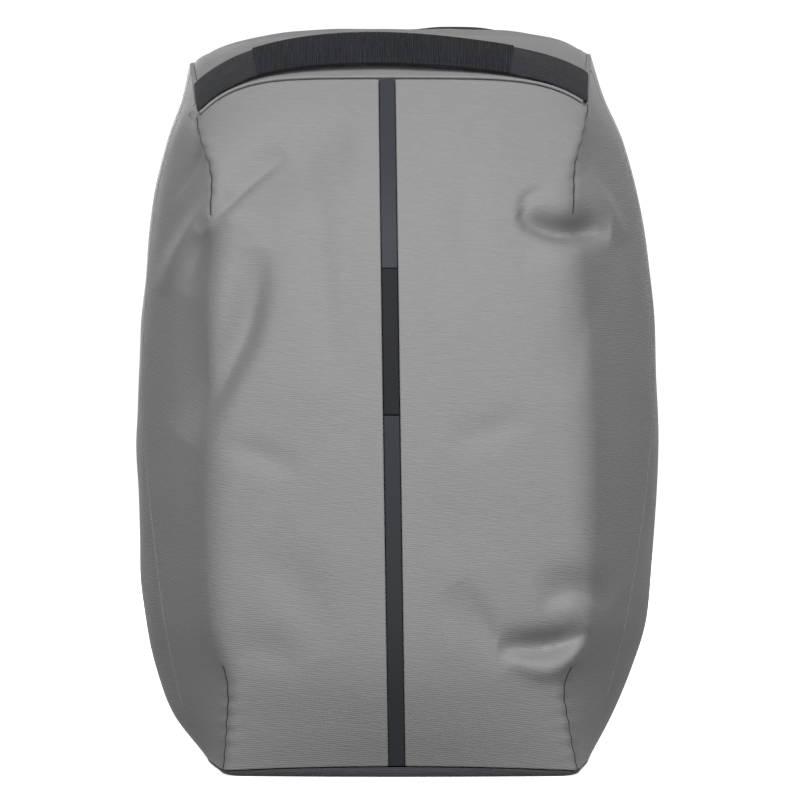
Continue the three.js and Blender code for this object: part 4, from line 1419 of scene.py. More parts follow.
@dataclass
class CentreBand:
    """The black tape down the middle of the front, in three lengths with a smooth patch between two."""

    form: Form
    shop: Workshop
    tape: bpy.types.Material
    patch: bpy.types.Material
    upper_tape: bpy.types.Material
    thickness: float = 1.4
    recess: float = 0.4
    row_step: float = 3.0
    edge_radius: float = 0.5
    patch_span: tuple[float, float] = (0.508, 0.718)

    def build(self) -> None:
        """Makes the three lengths."""
        low, high = self.patch_span
        self.length("band_lower", 0.0, low, self.recess, self.tape, "centre_band_lower")
        self.length("band_patch", low, high, 0.0, self.patch, "centre_band_patch")
        # The upper length takes the tape painted lighter, for the light it catches there.
        self.length("band_upper", high, 1.0, self.recess, self.upper_tape, "centre_band_upper")

    def length(
        self, name: str, start: float, end: float, recess: float, finish: bpy.types.Material, node: str
    ) -> None:
        """One length: the wall's middle strip, set back, with its edges and ends rounded over.

        Args:
            name: The piece's name.
            start: The share of the wall's height where it starts.
            end: Where it ends.
            recess: How far its face lies behind the wall's.
            finish: Its material.
            node: The CAD node that it stands for.
        """
        form = self.form
        gap = form.gap / 2 / form.tall
        span = (end - start) * form.tall
        heights = mix(start + gap, end - gap, with_edges(int(span / self.row_step), span, True, True))
        plan = form.plan(1, heights)
        w = with_edges(12, form.band_width, False, False)
        edge = np.array([0.0, 0.015, 0.04, 0.08])
        w = np.unique(np.concatenate([w, edge, 1 - edge]))
        x = plan.middle + mix(-form.band_width / 2, form.band_width / 2, w[None])
        y = plan.front_at(x)
        grid = np.stack([x, y, form.rise(plan, x, y)], -1)
        out = surface_normals(grid, 1)
        across, up = arc(grid, 1), arc(grid, 0)
        face = grid - out * (recess + hems(across, up, self.edge_radius))[..., None]
        patch = shell(face, grid - out * (recess + self.thickness), np.stack([across, up], -1))
        self.shop.piece(name, patch, finish, [node], "black_trim")


@dataclass
class CarryHandle:
    """The carry handle: webbing sewn down at both ends, with a ribbed grip folded round its middle."""

    form: Form
    shop: Workshop
    webbing: bpy.types.Material
    ribbed: bpy.types.Material
    rough_length: float = 230.0
    width: float = 29.5
    thickness: float = 2.0
    lift_front: float = 2.8
    lift_rear: float = 6.4
    forward: float = 1.6
    peak: float = 0.88
    arch_power: float = 2.0
    setback_middle: float = 9.0
    setback_end: float = 2.0
    end: float = 0.002
    grip_thickness: float = 1.0
    overhang: float = 0.2
    grip_span: tuple[float, float] = (0.17, 0.8)
    rib_pitch: float = 1.3
    rib_height: float = 0.4
    steps_per_rib: int = 7
    end_slant: float = 0.012
    share_step: float = 0.01

    def surface(self, s: Array, w: Array) -> tuple[Array, Array]:
        """The handle's lower face and its outward directions.

        It follows the lid, and its middle is lifted and leans forward by a power of a half sine.

        Args:
            s: Shares of its length, from left to right.
            w: Distances across it, from its front edge.

        Returns:
            The points and the directions.
        """
        lid = TopPatch.of(self.form)
        side_length = arc(lid.left, 0)[-1]
        arch = np.sin(math.pi * s**self.peak) ** self.arch_power
        t = (mix(self.setback_end, self.setback_middle, arch) + w) / side_length
        seat = lid.points(s, t)
        step = self.share_step
        over = lid.points(np.minimum(s + step, 1), t) - lid.points(np.maximum(s - step, 0), t)
        out = unit(np.cross(over, lid.points(s, t + step) - seat))
        lift = 2 * self.form.gap + mix(self.lift_front, self.lift_rear, w / self.width) * arch
        lean = np.stack([np.zeros_like(arch), -self.forward * arch**2, np.zeros_like(arch)], -1)
        return seat + out * lift[..., None] + lean, out

    def build(self) -> None:
        """Makes the webbing and the grip."""
        lengthwise = with_edges(200, self.rough_length, True, True)
        s, w = np.meshgrid(lengthwise, with_edges(18, self.width, True, True))
        s, w = mix(self.end, 1 - self.end, s.T), w.T * self.width
        low, out = self.surface(s, w)
        edge = np.minimum(w, self.width - w)
        full = self.thickness - 0.8 * rolled(edge, 1.0)
        cloth = np.stack([arc(low, 0), w], -1)
        under = low + out * (self.thickness - full)[..., None] * 0.5
        patch = shell(low + out * full[..., None], under, cloth)
        self.shop.piece("handle_strap", patch, self.webbing, ["handle_webbing"], "black_webbing")
        self.grip()

    def grip(self) -> None:
        """The ribbed sleeve over the middle: ribs are a sine across the bag, and its ends slant."""
        left, right = self.grip_span
        length = self.rough_length * (right - left)
        count = int(length / self.rib_pitch * self.steps_per_rib)
        s, w = np.meshgrid(np.linspace(0, 1, count + 1), with_edges(16, self.width, True, True))
        s, w = s.T, w.T
        slant = self.end_slant * (w - 0.5)
        share = mix(left - slant, right + slant, s)
        across = mix(-self.overhang, self.width + self.overhang, w)
        low, out = self.surface(share, across)
        far = arc(low, 0)
        edge = np.minimum(w, 1 - w) * (self.width + 2 * self.overhang)
        ends = np.minimum(far, far[-1:] - far)
        rib = 0.5 + 0.5 * np.sin(math.tau * low[..., 0] / self.rib_pitch)
        rib = self.rib_height * rib * smooth(edge, 0.2, 1.6)
        top = self.thickness + self.form.gap + self.grip_thickness - self.rib_height
        full = top + rib - rolled(edge, 1.3) - rolled(ends, 0.9)
        base = np.full(full.shape, self.thickness + self.form.gap)
        cloth = np.stack([across, low[..., 0]], -1)
        patch = shell(low + out * full[..., None], low + out * base[..., None], cloth)
        self.shop.piece("handle_sleeve", patch, self.ribbed, ["handle_grip"], "black_webbing", sharp=70.0)


@dataclass
class Base:
    """The black tray that the bag stands on: a flat floor, a rounded foot and a rim inside the walls."""

    form: Form
    shop: Workshop
    cloth: bpy.types.Material
    floor: float = 2.0
    round_front: float = 3.0
    round_side: float = 10.0
    rim: float = 2.0
    panel_edge: float = 6.0

    def build(self) -> None:
        """Makes the tray: loops of the walls' lower edge, drawn in below by a quarter of an ellipse."""
        form = self.form
        edges = [form.wall_edge(side, 0.0, (40, 16, 24, 12)) for side in (-1, 1)]
        edge = np.vstack([edges[0][::-1], edges[1]])
        back = form.back_line(np.array([0.0]), 60)[0][::-1].copy()
        back[:, 0] = np.linspace(edge[-1, 0], edge[0, 0], len(back))
        back[:, 1] = self.panel_edge + form.gap
        outline = np.vstack([edge, back])
        widest = np.abs(outline[:, 0]).max()
        loops = []
        for t in np.linspace(0, 1, 8):
            share = 1 - math.sin(math.pi / 2 * t)
            loop = TopPatch.inset(outline, self.round_front * share)
            loop[:, 0] *= 1 - (self.round_side - self.round_front) * share / widest
            loop[:, 2] = (outline[:, 2] - form.gap) * (1 - math.cos(math.pi / 2 * t))
            loops.append(loop)
        inner = TopPatch.inset(outline, self.rim)
        inner[:, 2] -= form.gap
        low = inner.copy()
        low[:, 2] = self.floor
        loops += [inner, low]
        stack = np.array(loops)
        cloth = np.stack([stack[..., 0], stack[..., 1] + stack[..., 2]], -1)
        self.shop.piece("base_tray", tube(stack, cloth=cloth), self.cloth, ["base_panel"])


@dataclass(frozen=True)
class PaddedPad:
    """Swells a closed foam form with Blender's cloth, as its cover does when it is sewn round foam.

    The voxel, which is the mesh's step, and the cap on each point's way are in millimetres.
    """

    voxel: float = 4.0
    pressure: float = 4.0
    cap: float = 1.2
    frames: int = 20

    def swell(self, thing: bpy.types.Object, node: str) -> None:
        """Runs the cloth on an even remesh of the pad, caps each point's way, and keeps the result.

        Args:
            thing: The pad, whose mesh is replaced.
            node: The CAD node whose box its points stay in.
        """
        remesh = thing.modifiers.new("even", "REMESH")
        remesh.mode, remesh.voxel_size, remesh.use_smooth_shade = "VOXEL", self.voxel / METRE, True
        self.keep(thing)
        start = self.coordinates(thing)
        cloth = thing.modifiers.new("cover", "CLOTH")
        cloth.settings.use_pressure = True
        cloth.settings.uniform_pressure_force = self.pressure
        cloth.settings.effector_weights.gravity = 0.0
        cloth.settings.quality = 5
        for step in range(1, self.frames + 1):
            bpy.context.scene.frame_set(step)
        self.keep(thing)
        bpy.context.scene.frame_set(1)
        moved = self.coordinates(thing) - start
        far = np.linalg.norm(moved, axis=-1, keepdims=True)
        moved *= np.minimum(1.0, self.cap / METRE / np.maximum(far, 1e-9))
        at = np.clip(start + moved, *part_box(node))
        thing.data.vertices.foreach_set("co", at.astype(np.float32).ravel())
        thing.data.polygons.foreach_set("use_smooth", np.ones(len(thing.data.polygons), bool))
        thing.data.update()
        fine = thing.modifiers.new("fine", "SUBSURF")
        fine.levels = fine.render_levels = 1

    @staticmethod
    def coordinates(thing: bpy.types.Object) -> Array:
        """A mesh's points as an array.

        Args:
            thing: The object.

        Returns:
            One row for each point.
        """
        at = np.empty(len(thing.data.vertices) * 3, np.float32)
        thing.data.vertices.foreach_get("co", at)
        return at.reshape(-1, 3).astype(float)

    @staticmethod
    def keep(thing: bpy.types.Object) -> None:
        """Applies an object's modifiers to its mesh.

        Args:
            thing: The object.
        """
        graph = bpy.context.evaluated_depsgraph_get()
        made = bpy.data.meshes.new_from_object(thing.evaluated_get(graph), depsgraph=graph)
        old = thing.data
        thing.modifiers.clear()
        thing.data = made
        bpy.data.meshes.remove(old)


@dataclass
class BackPanel:
    """The side against the wearer: a covered board with two mesh pads, and the zip round its edge."""

    form: Form
    shop: Workshop
    cloth: bpy.types.Material
    mesh: bpy.types.Material
    tape: bpy.types.Material
    acetal: bpy.types.Material
    edge: float = 6.0
    pad_rise: float = 6.0
    pad_across: tuple[float, float, float, float] = (0.06, 0.22, 0.24, 0.06)
    pad_tall: tuple[float, float, float, float] = (0.18, 0.27, 0.12, 0.04)
    zip_recess: float = 0.6
    zip_thickness: float = 2.4
    pull_length: float = 24.0
    pull_thickness: float = 2.0
    pull_height: float = 0.5
    coil_pitch: float = 1.6
    zip_steps: int = 880
    pull_taper: float = 0.72
    tooth_width: float = 0.9
    tooth_height: float = 0.25
    tooth_reach: float = 1.1
    tooth_depth: float = 0.15
    rim_radius: float = 2.2
    channels: tuple[float, float] = (0.42, 0.66)
    channel_reach: float = 0.012
    channel_depth: float = 0.75
    edge_bump: float = 1.7
    bump_at: float = 36.0
    bump_reach: float = 21.0

    def build(self) -> None:
        """Makes the board, its pads, the zip and its two pulls."""
        self.board()
        for side in Side:
            self.pad(side)
            self.pull(side)
        self.zip()

    def board(self) -> None:
        """The board: the back edge's own outline, its rear rim rounded over, with one small bump on top."""
        form = self.form
        heights, s = form.rows(90), with_edges(64, 280.0, True, True)
        line = form.back_line(heights, 2)
        x = mix(line[:, :1, 0], line[:, 2:, 0], s[None])
        plans = [form.plan(side, heights) for side in (-1, 1)]
        y = np.full_like(x, -form.zip_width)
        z = np.where(x < plans[0].middle, form.rise(plans[0], x, y), form.rise(plans[1], x, y))
        front = np.stack([x, np.zeros_like(x), z], -1)
        across, up = arc(front, 1), arc(front, 0)
        bump = self.edge_bump * np.exp(-(((x - self.bump_at) / self.bump_reach) ** 4))
        front[..., 2] += bump * smooth(heights[:, None], 0.97, 1.0)
        rear = front.copy()
        rear[..., 1] = self.edge
        rear[..., 1] -= hems(across, up, self.rim_radius)
        patch = shell(rear, front, np.stack([across, up], -1))
        self.shop.piece("back_board", patch, self.cloth, ["back_panel"])

    def pad(self, side: Side) -> None:
        """One long pad of foam under mesh: a grid whose height falls to nothing round its edge, swollen.

        Args:
            side: The side of the bag.
        """
        form = self.form
        low, high = self.pad_tall[0], 1 - self.pad_tall[3]
        h, s = np.linspace(low, high, 90), np.linspace(0, 1, 40)
        inner, outer = self.pad_across[0], 1 - self.pad_across[3]
        line = form.back_line(h, 2)
        middle = (line[:, 0, 0] + line[:, 2, 0]) / 2
        half = (line[:, 2, 0] - line[:, 0, 0]) / 2
        share = mix(inner, outer, s)[None] * side.value
        x = middle[:, None] + half[:, None] * share
        z = np.broadcast_to(mix(line[:, :1, 2], line[:, 2:, 2], (share + 1) / 2), x.shape)
        away = np.abs(share)
        rise = smooth(away, self.pad_across[0], self.pad_across[1])
        rise = rise * smooth(1 - away, self.pad_across[3], self.pad_across[2])
        tall = smooth(h, self.pad_tall[0], self.pad_tall[1])
        tall = tall * smooth(1 - h, self.pad_tall[3], self.pad_tall[2])
        full = (rise * tall[:, None]) ** 0.6
        off_channel = (h[:, None] - np.array(self.channels)) / self.channel_reach
        channels = self.channel_depth * np.exp(-(off_channel**2)).sum(1)
        y = self.edge - 0.6 + (self.pad_rise - 0.4) * full * (1 - channels[:, None])
        face = np.stack([x, y, z], -1)
        base = np.stack([x, np.full_like(x, self.edge - 1.6), z], -1)
        patch = shell(face, base, np.stack([x, z], -1))
        thing = self.shop.piece(f"back_pad_{side.word}", patch, self.mesh, [])
        PaddedPad().swell(thing, "back_panel")

    def zip(self) -> None:
        """The zip round the back edge: a flat tape, with its coil of teeth as a bead of small bumps."""
        form = self.form
        rows = form.back_line(form.rows(90), 60)
        outline = np.vstack([rows[:, 0], rows[-1, 1:-1], rows[::-1, -1], rows[0, 1:-1][::-1]])
        outline = even_steps(np.vstack([outline, outline[:1]]), self.zip_steps)[:-1]
        way = unit(np.roll(outline, -1, 0) - np.roll(outline, 1, 0))
        inward = np.cross(way, BACKWARD)
        centre = outline.mean(0)
        inward *= np.sign(np.sum(inward * (centre - outline), -1, keepdims=True))
        mid = outline + inward * (self.zip_recess + self.zip_thickness / 2)
        mid[:, 1] = -form.zip_width / 2
        depth = form.zip_width - 2 * form.gap
        section = rounded_section(self.zip_thickness, depth, 12, 5.0)
        tape = swept(mid, inward, section, ring=True)
        self.shop.piece("zip_tape", tape, self.tape, ["rear_zip"], "black_trim")
        far = arc(np.vstack([outline, outline[:1]]), 0)
        count = int(far[-1] / self.coil_pitch)
        at = np.linspace(0, far[-1], count, endpoint=False)
        at_mid, at_in = (read_at(at, far, np.vstack([rows, rows[:1]])) for rows in (mid, inward))
        centre_out = at_mid - unit(at_in) * (self.zip_thickness / 2 - self.tooth_depth)
        reach = BACKWARD * self.tooth_reach
        starts, ends = centre_out - reach, centre_out + reach
        teeth = capsules(starts, ends, -unit(at_in), self.tooth_width, self.tooth_height)
        self.shop.piece("zip_coil", teeth, self.acetal, [], "black_trim")

    def pull(self, side: Side) -> None:
        """A moulded pull: a plate with rounded corners that narrows at its upper end.

        Args:
            side: The side of the bag.
        """
        form = self.form
        line = form.back_line(np.array([self.pull_height]), 1)[0]
        at = line[0 if side is Side.LEFT else 1]
        x = at[0] + side.value * (form.gap + self.pull_thickness / 2)
        t = np.linspace(0, 1, 24)
        z = at[2] + (t - 0.5) * self.pull_length
        ends = np.sqrt(np.clip(1 - np.abs(2 * t - 1) ** 6, 0.02, 1))
        width = (form.zip_width - 2 * form.gap) * ends * mix(1.0, self.pull_taper, t)
        path = np.stack([np.full_like(z, x), np.full_like(z, -form.zip_width / 2), z], -1)
        section = rounded_section(width, self.pull_thickness * ends, 16, 4.0)
        self.shop.piece(
            f"pull_{side.word}", swept(path, BACKWARD, section), self.acetal, [f"zip_pull_{side.word}"],
            "black_plastic",
        )


@dataclass(frozen=True)
class StrapFrame:
    """A place on a strap: its middle, and its directions across, up the strap and out from the bag."""

    middle: Array
    across: Array
    up: Array
    out: Array

    def at(self, a: float, b: float, c: float) -> Array:
        """The point at distances across, up and out."""
        return self.middle + self.across * a + self.up * b + self.out * c


@dataclass
class ShoulderStraps:
    """The two shoulder straps: swollen foam pads with bound edges, buckles, webbing and sewn anchors."""

    form: Form
    shop: Workshop
    cloth: bpy.types.Material
    mesh: bpy.types.Material
    binding: bpy.types.Material
    webbing: bpy.types.Material
    thread: bpy.types.Material
    acetal: bpy.types.Material
    height: float = 440.0
    panel_edge: float = 6.0
    pad_rise: float = 6.0
    width: float = 62.0
    end_width: float = 28.0
    thickness: float = 12.0
    taper: float = 0.35
    webbing_width: float = 25.0
    webbing_thickness: float = 1.6
    buckle_width: float = 34.0
    buckle_thickness: float = 5.0
    bar: float = 4.0
    slot: float = 7.0
    anchor_length: float = 18.0
    anchor_thickness: float = 3.0
    anchor_flare: float = 2.0
    tail_length: float = 52.0
    pad_inset: float = 3.0
    cover_room: float = 1.2
    crown_power: float = 3.2
    stitch_inset: float = 4.2
    stitch_ends: int = 191
    stitch_width: float = 0.55
    stitch_height: float = 0.2
    anchor_height: float = 0.09
    anchor_x: tuple[float, float] = (0.76, 0.72)
    lines: tuple[Table, Table] = (
        Table(
            ("z", "x", "out"),
            (
                (0.915, -0.24, 0.002), (0.83, -0.28, 0.11), (0.68, -0.38, 0.2), (0.5, -0.55, 0.22),
                (0.35, -0.715, 0.14), (0.245, -0.835, 0.06),
            ),
        ),
        Table(
            ("z", "x", "out"),
            (
                (0.915, 0.24, 0.002), (0.83, 0.28, 0.11), (0.68, 0.37, 0.2), (0.5, 0.52, 0.22),
                (0.35, 0.67, 0.14), (0.245, 0.8, 0.06),
            ),
        ),
    )

    @property
    def buckle_height(self) -> float:
        """The height of the buckle: three bars and two slots."""
        return 3 * self.bar + 2 * self.slot

    def build(self) -> None:
        """Makes both straps."""
        for side in Side:
            self.strap(side)
            self.buckle(side)
            self.web(side)
            self.anchor(side)

    def line(self, side: Side, count: int = 120) -> Array:
        """The strap's middle line, from its table.

        Args:
            side: The side of the bag.
            count: The number of even steps.

        Returns:
            The points, from the top down.
        """
        table = self.lines[0 if side is Side.LEFT else 1]
        x = table.column("x") * self.form.width / 2
        y = self.panel_edge + self.pad_rise + self.form.gap + table.column("out") * self.form.depth
        z = table.column("z") * self.height
        return catmull(np.stack([x, y + self.thickness / 2, z], -1), count)

    def strap(self, side: Side) -> None:
        """The padded strap: swollen foam under a cover, with a bound edge and a line of stitches inside it.

        The foam is a rounded section carried along the strap's line. It narrows to its end.

        Args:
            side: The side of the bag.
        """
        path = self.line(side)
        t = np.linspace(0, 1, len(path))
        width = mix(self.width, self.end_width, smooth(t, self.taper, 1.0))
        way = unit(np.gradient(path, axis=0))
        wide = unit(RIGHTWARD - way * np.sum(RIGHTWARD * way, -1, keepdims=True))
        out = np.cross(way, wide)
        blunt = np.sqrt(1 - 0.6 * smooth(np.abs(2 * t - 1), 0.97, 1.0))
        foam = (self.thickness - self.cover_room) * blunt
        section = rounded_section(width - self.pad_inset, foam, 36, self.crown_power)
        node = f"shoulder_strap_{side.word}"
        pad = self.shop.piece(f"strap_pad_{side.word}", swept(path, RIGHTWARD, section), self.mesh, [node])
        PaddedPad().swell(pad, node)
        bound = self.edge_tape(path, wide, width)
        self.shop.piece(f"strap_binding_{side.word}", bound, self.binding, [], "black_webbing")
        self.shop.piece(f"strap_cover_{side.word}", self.cover(path, wide, out, width), self.cloth, [])
        sewn = []
        for sign in (1, -1):
            offset = sign * (width / 2 - self.stitch_inset)
            seam = path + wide * offset[:, None] + out * self.face(width, offset)[:, None]
            far = arc(seam, 0)
            at = np.linspace(0.0, far[-1], self.stitch_ends)
            ends, normal = read_at(at, far, seam), unit(read_at(at, far, out))
            pairs = (ends[:-1:2], ends[1::2], normal[:-1:2])
            sewn.append(capsules(*pairs, self.stitch_width, self.stitch_height))
        self.shop.piece(f"strap_stitches_{side.word}", joined(sewn), self.thread, [], "black_webbing")

    @staticmethod
    def edge_tape(path: Array, wide: Array, width: Array) -> Patch:
        """The binding: a small rounded section carried round the strap's two edges and its ends.

        Args:
            path: The strap's middle line.
            wide: The direction across it at each point.
            width: Its width at each point.

        Returns:
            The binding's mesh.
        """
        edges = [path + wide * (sign * (width / 2 - 1.3))[:, None] for sign in (1, -1)]
        loop = np.vstack([edges[0], edges[1][::-1]])
        loop = even_steps(np.vstack([loop, loop[:1]]), 420)[:-1]
        centre = read_at(loop[:, 2], path[::-1, 2], path[::-1])
        # The loop crosses the strap's middle at its two ends, where a hair keeps the direction defined.
        return swept(loop, unit(loop - centre + 1e-6), rounded_section(2.6, 3.4, 14, 2.6), ring=True)

    def face(self, width: Array, offset: Array) -> Array:
        """How far the outer cover stands off the strap's middle: the crown of its rounded section.

        Args:
            width: The strap's width.
            offset: The distance across it.

        Returns:
            The distance out.
        """
        share = np.clip(np.abs(offset) / (width / 2 - 1.0), 0, 1)
        round_share = (1 - share**self.crown_power) ** (1 / self.crown_power)
        return (self.thickness / 2 - 0.9) * round_share + 0.7

    def cover(self, path: Array, wide: Array, out: Array, width: Array) -> Patch:
        """The outer cover: a sheet over the pad's crown, edge to edge, as high as the section there.

        Args:
            path: The strap's middle line.
            wide: The direction across it at each point.
            out: The direction out from the bag.
            width: The strap's width at each point.

        Returns:
            The cover's mesh.
        """
        s = np.linspace(-1, 1, 31)
        offset = s[None] * (width / 2 - 1.4)[:, None]
        lift = self.face(width[:, None], offset)
        top = path[:, None] + wide[:, None] * offset[..., None] + out[:, None] * lift[..., None]
        low = top - out[:, None] * 1.0
        flat = np.stack([offset, np.broadcast_to(arc(path, 0)[:, None], offset.shape)], -1)
        return shell(top[2:-2], low[2:-2], flat[2:-2])

    def buckle_frame(self, side: Side) -> StrapFrame:
        """Where the buckle sits, just past the strap's end.

        Args:
            side: The side of the bag.

        Returns:
            The buckle's middle and directions.
        """
        path = self.line(side)
        up = -unit(path[-1] - path[-2])
        across = unit(np.array([up[2], 0.0, -up[0]]))
        out = np.cross(up, across)
        return StrapFrame(path[-1] - up * (self.buckle_height / 2 + self.form.gap), across, up, out)

    def anchor_frame(self, side: Side) -> StrapFrame:
        """Where the webbing is sewn to the back panel, turned towards the buckle.

        Args:
            side: The side of the bag.

        Returns:
            The anchor's middle and directions.
        """
        x = side.value * self.anchor_x[0 if side is Side.LEFT else 1] * self.form.width / 2
        y = self.panel_edge + self.form.gap + self.anchor_thickness / 2
        middle = np.array([x, y, self.anchor_height * self.height])
        up = self.buckle_frame(side).at(0, -self.buckle_height / 2, 0) - middle
        up[1] = 0.0
        up = unit(up)
        return StrapFrame(middle, np.array([up[2], 0.0, -up[0]]), up, BACKWARD)

    def buckle(self, side: Side) -> None:
        """The ladder buckle: a rim that is a rounded rectangle, and one bar across its middle.

        Args:
            side: The side of the bag.
        """
        spot = self.buckle_frame(side)
        turn = np.linspace(0, math.tau, 72, endpoint=False)
        c, s = np.cos(turn), np.sin(turn)
        reach_w, reach_h = (self.buckle_width - self.bar) / 2, (self.buckle_height - self.bar) / 2
        a = np.sign(c) * np.abs(c) ** 0.4 * reach_w
        b = np.sign(s) * np.abs(s) ** 0.4 * reach_h
        rim = spot.middle + spot.across * a[:, None] + spot.up * b[:, None]
        radial = spot.across * c[:, None] + spot.up * s[:, None]
        frame_bar = rounded_section(self.bar, self.buckle_thickness, 14, 3.4)
        path = np.linspace(-reach_w, reach_w, 20)[:, None] * spot.across + spot.middle
        middle_bar = rounded_section(self.bar, self.buckle_thickness * 0.9, 14, 2.6)
        whole = joined([swept(rim, radial, frame_bar, ring=True), swept(path, spot.up, middle_bar)])
        self.shop.piece(
            f"buckle_{side.word}", whole, self.acetal, [f"strap_buckle_{side.word}"], "black_plastic"
        )

    def web(self, side: Side) -> None:
        """The webbing: from the anchor up behind the buckle, round its bar and down again as the tail.

        It is a rounded strip carried along one smooth curve. It lies flat to the bag at the anchor and
        flat to the buckle beside it.

        Args:
            side: The side of the bag.
        """
        buckle, anchor = self.buckle_frame(side), self.anchor_frame(side)
        near = (self.buckle_thickness + self.webbing_thickness) / 2 + self.form.gap
        seat = (self.anchor_thickness + self.webbing_thickness) / 2 + self.form.gap
        low = -self.buckle_height / 2
        turns = [math.pi * (k / 4 - 0.5) for k in range(5)]
        leaving = buckle.at(0, low - self.bar, near)
        points = [
            anchor.at(0, -self.anchor_length / 3, seat),
            anchor.at(0, 0, seat),
            anchor.at(0, self.anchor_length / 2, seat + self.webbing_thickness / 2),
            buckle.at(0, low - self.bar, -near),
            buckle.at(0, low, -near),
            *[buckle.at(0, self.bar / 2 + near * math.cos(a), near * math.sin(a)) for a in turns],
            buckle.at(0, low, near),
            *[leaving - anchor.up * self.tail_length * share for share in (0.0, 1 / 3, 2 / 3, 1.0)],
        ]
        path = catmull(np.array(points), 240)
        way = unit(np.gradient(path, axis=0))
        t = np.linspace(0, 1, len(path))[:, None]
        facing = mix(anchor.out, buckle.out, smooth(t, 0.1, 0.3))
        flat = unit(np.cross(facing, way))
        flat = flat * np.sign(np.sum(flat * buckle.across, -1, keepdims=True))
        square = np.abs(np.sum(way * buckle.out, -1, keepdims=True))
        across = mix(flat, buckle.across, smooth(square, 0.4, 0.8))
        section = rounded_section(self.webbing_width, self.webbing_thickness, 28, 6.0)
        patch = swept(path, across, section)
        self.shop.piece(
            f"webbing_{side.word}", patch, self.webbing, [f"strap_webbing_{side.word}"], "black_webbing"
        )

    def anchor(self, side: Side) -> None:
        """The sewn tab: a rounded plate, wider at its foot.

        Args:
            side: The side of the bag.
        """
        spot = self.anchor_frame(side)
        t = np.linspace(0, 1, 20)
        path = spot.middle + spot.up * ((t - 0.5) * self.anchor_length)[:, None]
        width = mix(self.webbing_width + 2 * self.anchor_flare, self.webbing_width, t)
        section = rounded_section(width, np.full_like(t, self.anchor_thickness), 24, 5.0)
        self.shop.piece(
            f"anchor_{side.word}", swept(path, spot.across, section), self.webbing,
            [f"strap_anchor_{side.word}"], "black_webbing",
        )


@dataclass
class Studio:
    """A white floor, a white surround and soft lights, with the camera where the photograph was taken."""

    camera_at: tuple[float, float, float] = (0.00292, -2.20675, 0.2145)
    lens: float = 167.6
    sensor: float = 36.0
    floor_size: float = 30.0
    surround_strength: float = 1.1
    lamp_size: float = 1.0
    lamp_aim: tuple[float, float, float] = (0.0, 0.0, 0.22)
    lamps: tuple[tuple[str, tuple[float, float, float], float], ...] = (
        ("key_left", (-0.8, -2.2, 1.5), 31.0),
        ("key_right", (0.8, -2.2, 1.5), 30.5),
        ("front", (0.0, -2.9, 0.5), 24.0),
        ("rear_left", (-1.0, 2.6, 0.9), 30.0),
        ("rear_right", (1.0, 2.6, 0.9), 12.0),
    )

    def build(self) -> None:
        """Makes the floor, surround, lights and camera."""
        self.floor()
        self.surround()
        for name, at, power in self.lamps:
            self.light(name, at, power)
        self.camera()

    def floor(self) -> None:
        """A wide flat floor of white card, which glows more further out, and so runs into the surround.

        It throws no light onto the bag.
        """
        mesh = bpy.data.meshes.new("floor")
        r = self.floor_size / 2
        mesh.from_pydata([(-r, -r, 0), (r, -r, 0), (r, r, 0), (-r, r, 0)], [], [(0, 1, 2, 3)])
        made, tree, shader = new_material("white_card")
        place = add_node(tree, "TexCoord")["Object"]
        away = add_node(tree, "VectorMath", {0: place}, operation="LENGTH")["Value"]
        fill_inputs(tree, shader, {
            "Base Color": linear("#fafafa"),
            "Roughness": 0.9,
            "Specular IOR Level": 0.0,
            "Emission Color": linear("#ffffff"),
            "Emission Strength": ranged(tree, away, (0.3, 1.0), (0.78, 1.1)),
        })
        mesh.materials.append(made)
        thing = bpy.data.objects.new("floor", mesh)
        bpy.context.scene.collection.objects.link(thing)
        thing.visible_diffuse = thing.visible_glossy = False

    def surround(self) -> None:
        """An even white surround, which the camera and the gloss see. The lamps alone light the bag."""
        world = bpy.data.worlds.new("surround")
        world.use_nodes = True
        bpy.context.scene.world = world
        white = {"Color": (1.0, 1.0, 1.0, 1.0), "Strength": self.surround_strength}
        fill_inputs(world.node_tree, world.node_tree.nodes["Background"], white)
        world.cycles_visibility.diffuse = False

    def light(self, name: str, at: tuple[float, float, float], power: float) -> None:
        """A square soft light that faces the middle of the bag.

        Args:
            name: Its name.
            at: Where it is.
            power: Its power, in watts.
        """
        data = bpy.data.lights.new(name, "AREA")
        data.energy, data.size, data.shape = power, self.lamp_size, "SQUARE"
        lamp = bpy.data.objects.new(name, data)
        back = np.array(at) - np.array(self.lamp_aim)
        turn = math.atan2(back[0], -back[1])
        lamp.rotation_euler = (math.acos(back[2] / np.linalg.norm(back)), 0.0, turn)
        lamp.location = at
        lamp.visible_camera = False
        bpy.context.scene.collection.objects.link(lamp)

    def camera(self) -> None:
        """The camera: level, looking along +Y, with a long lens."""
        data = bpy.data.cameras.new("camera")
        data.lens, data.sensor_width, data.clip_end = self.lens, self.sensor, 100.0
        camera = bpy.data.objects.new("camera", data)
        camera.location = self.camera_at
        camera.rotation_euler = (math.pi / 2, 0.0, 0.0)
        bpy.context.scene.collection.objects.link(camera)
        bpy.context.scene.camera = camera


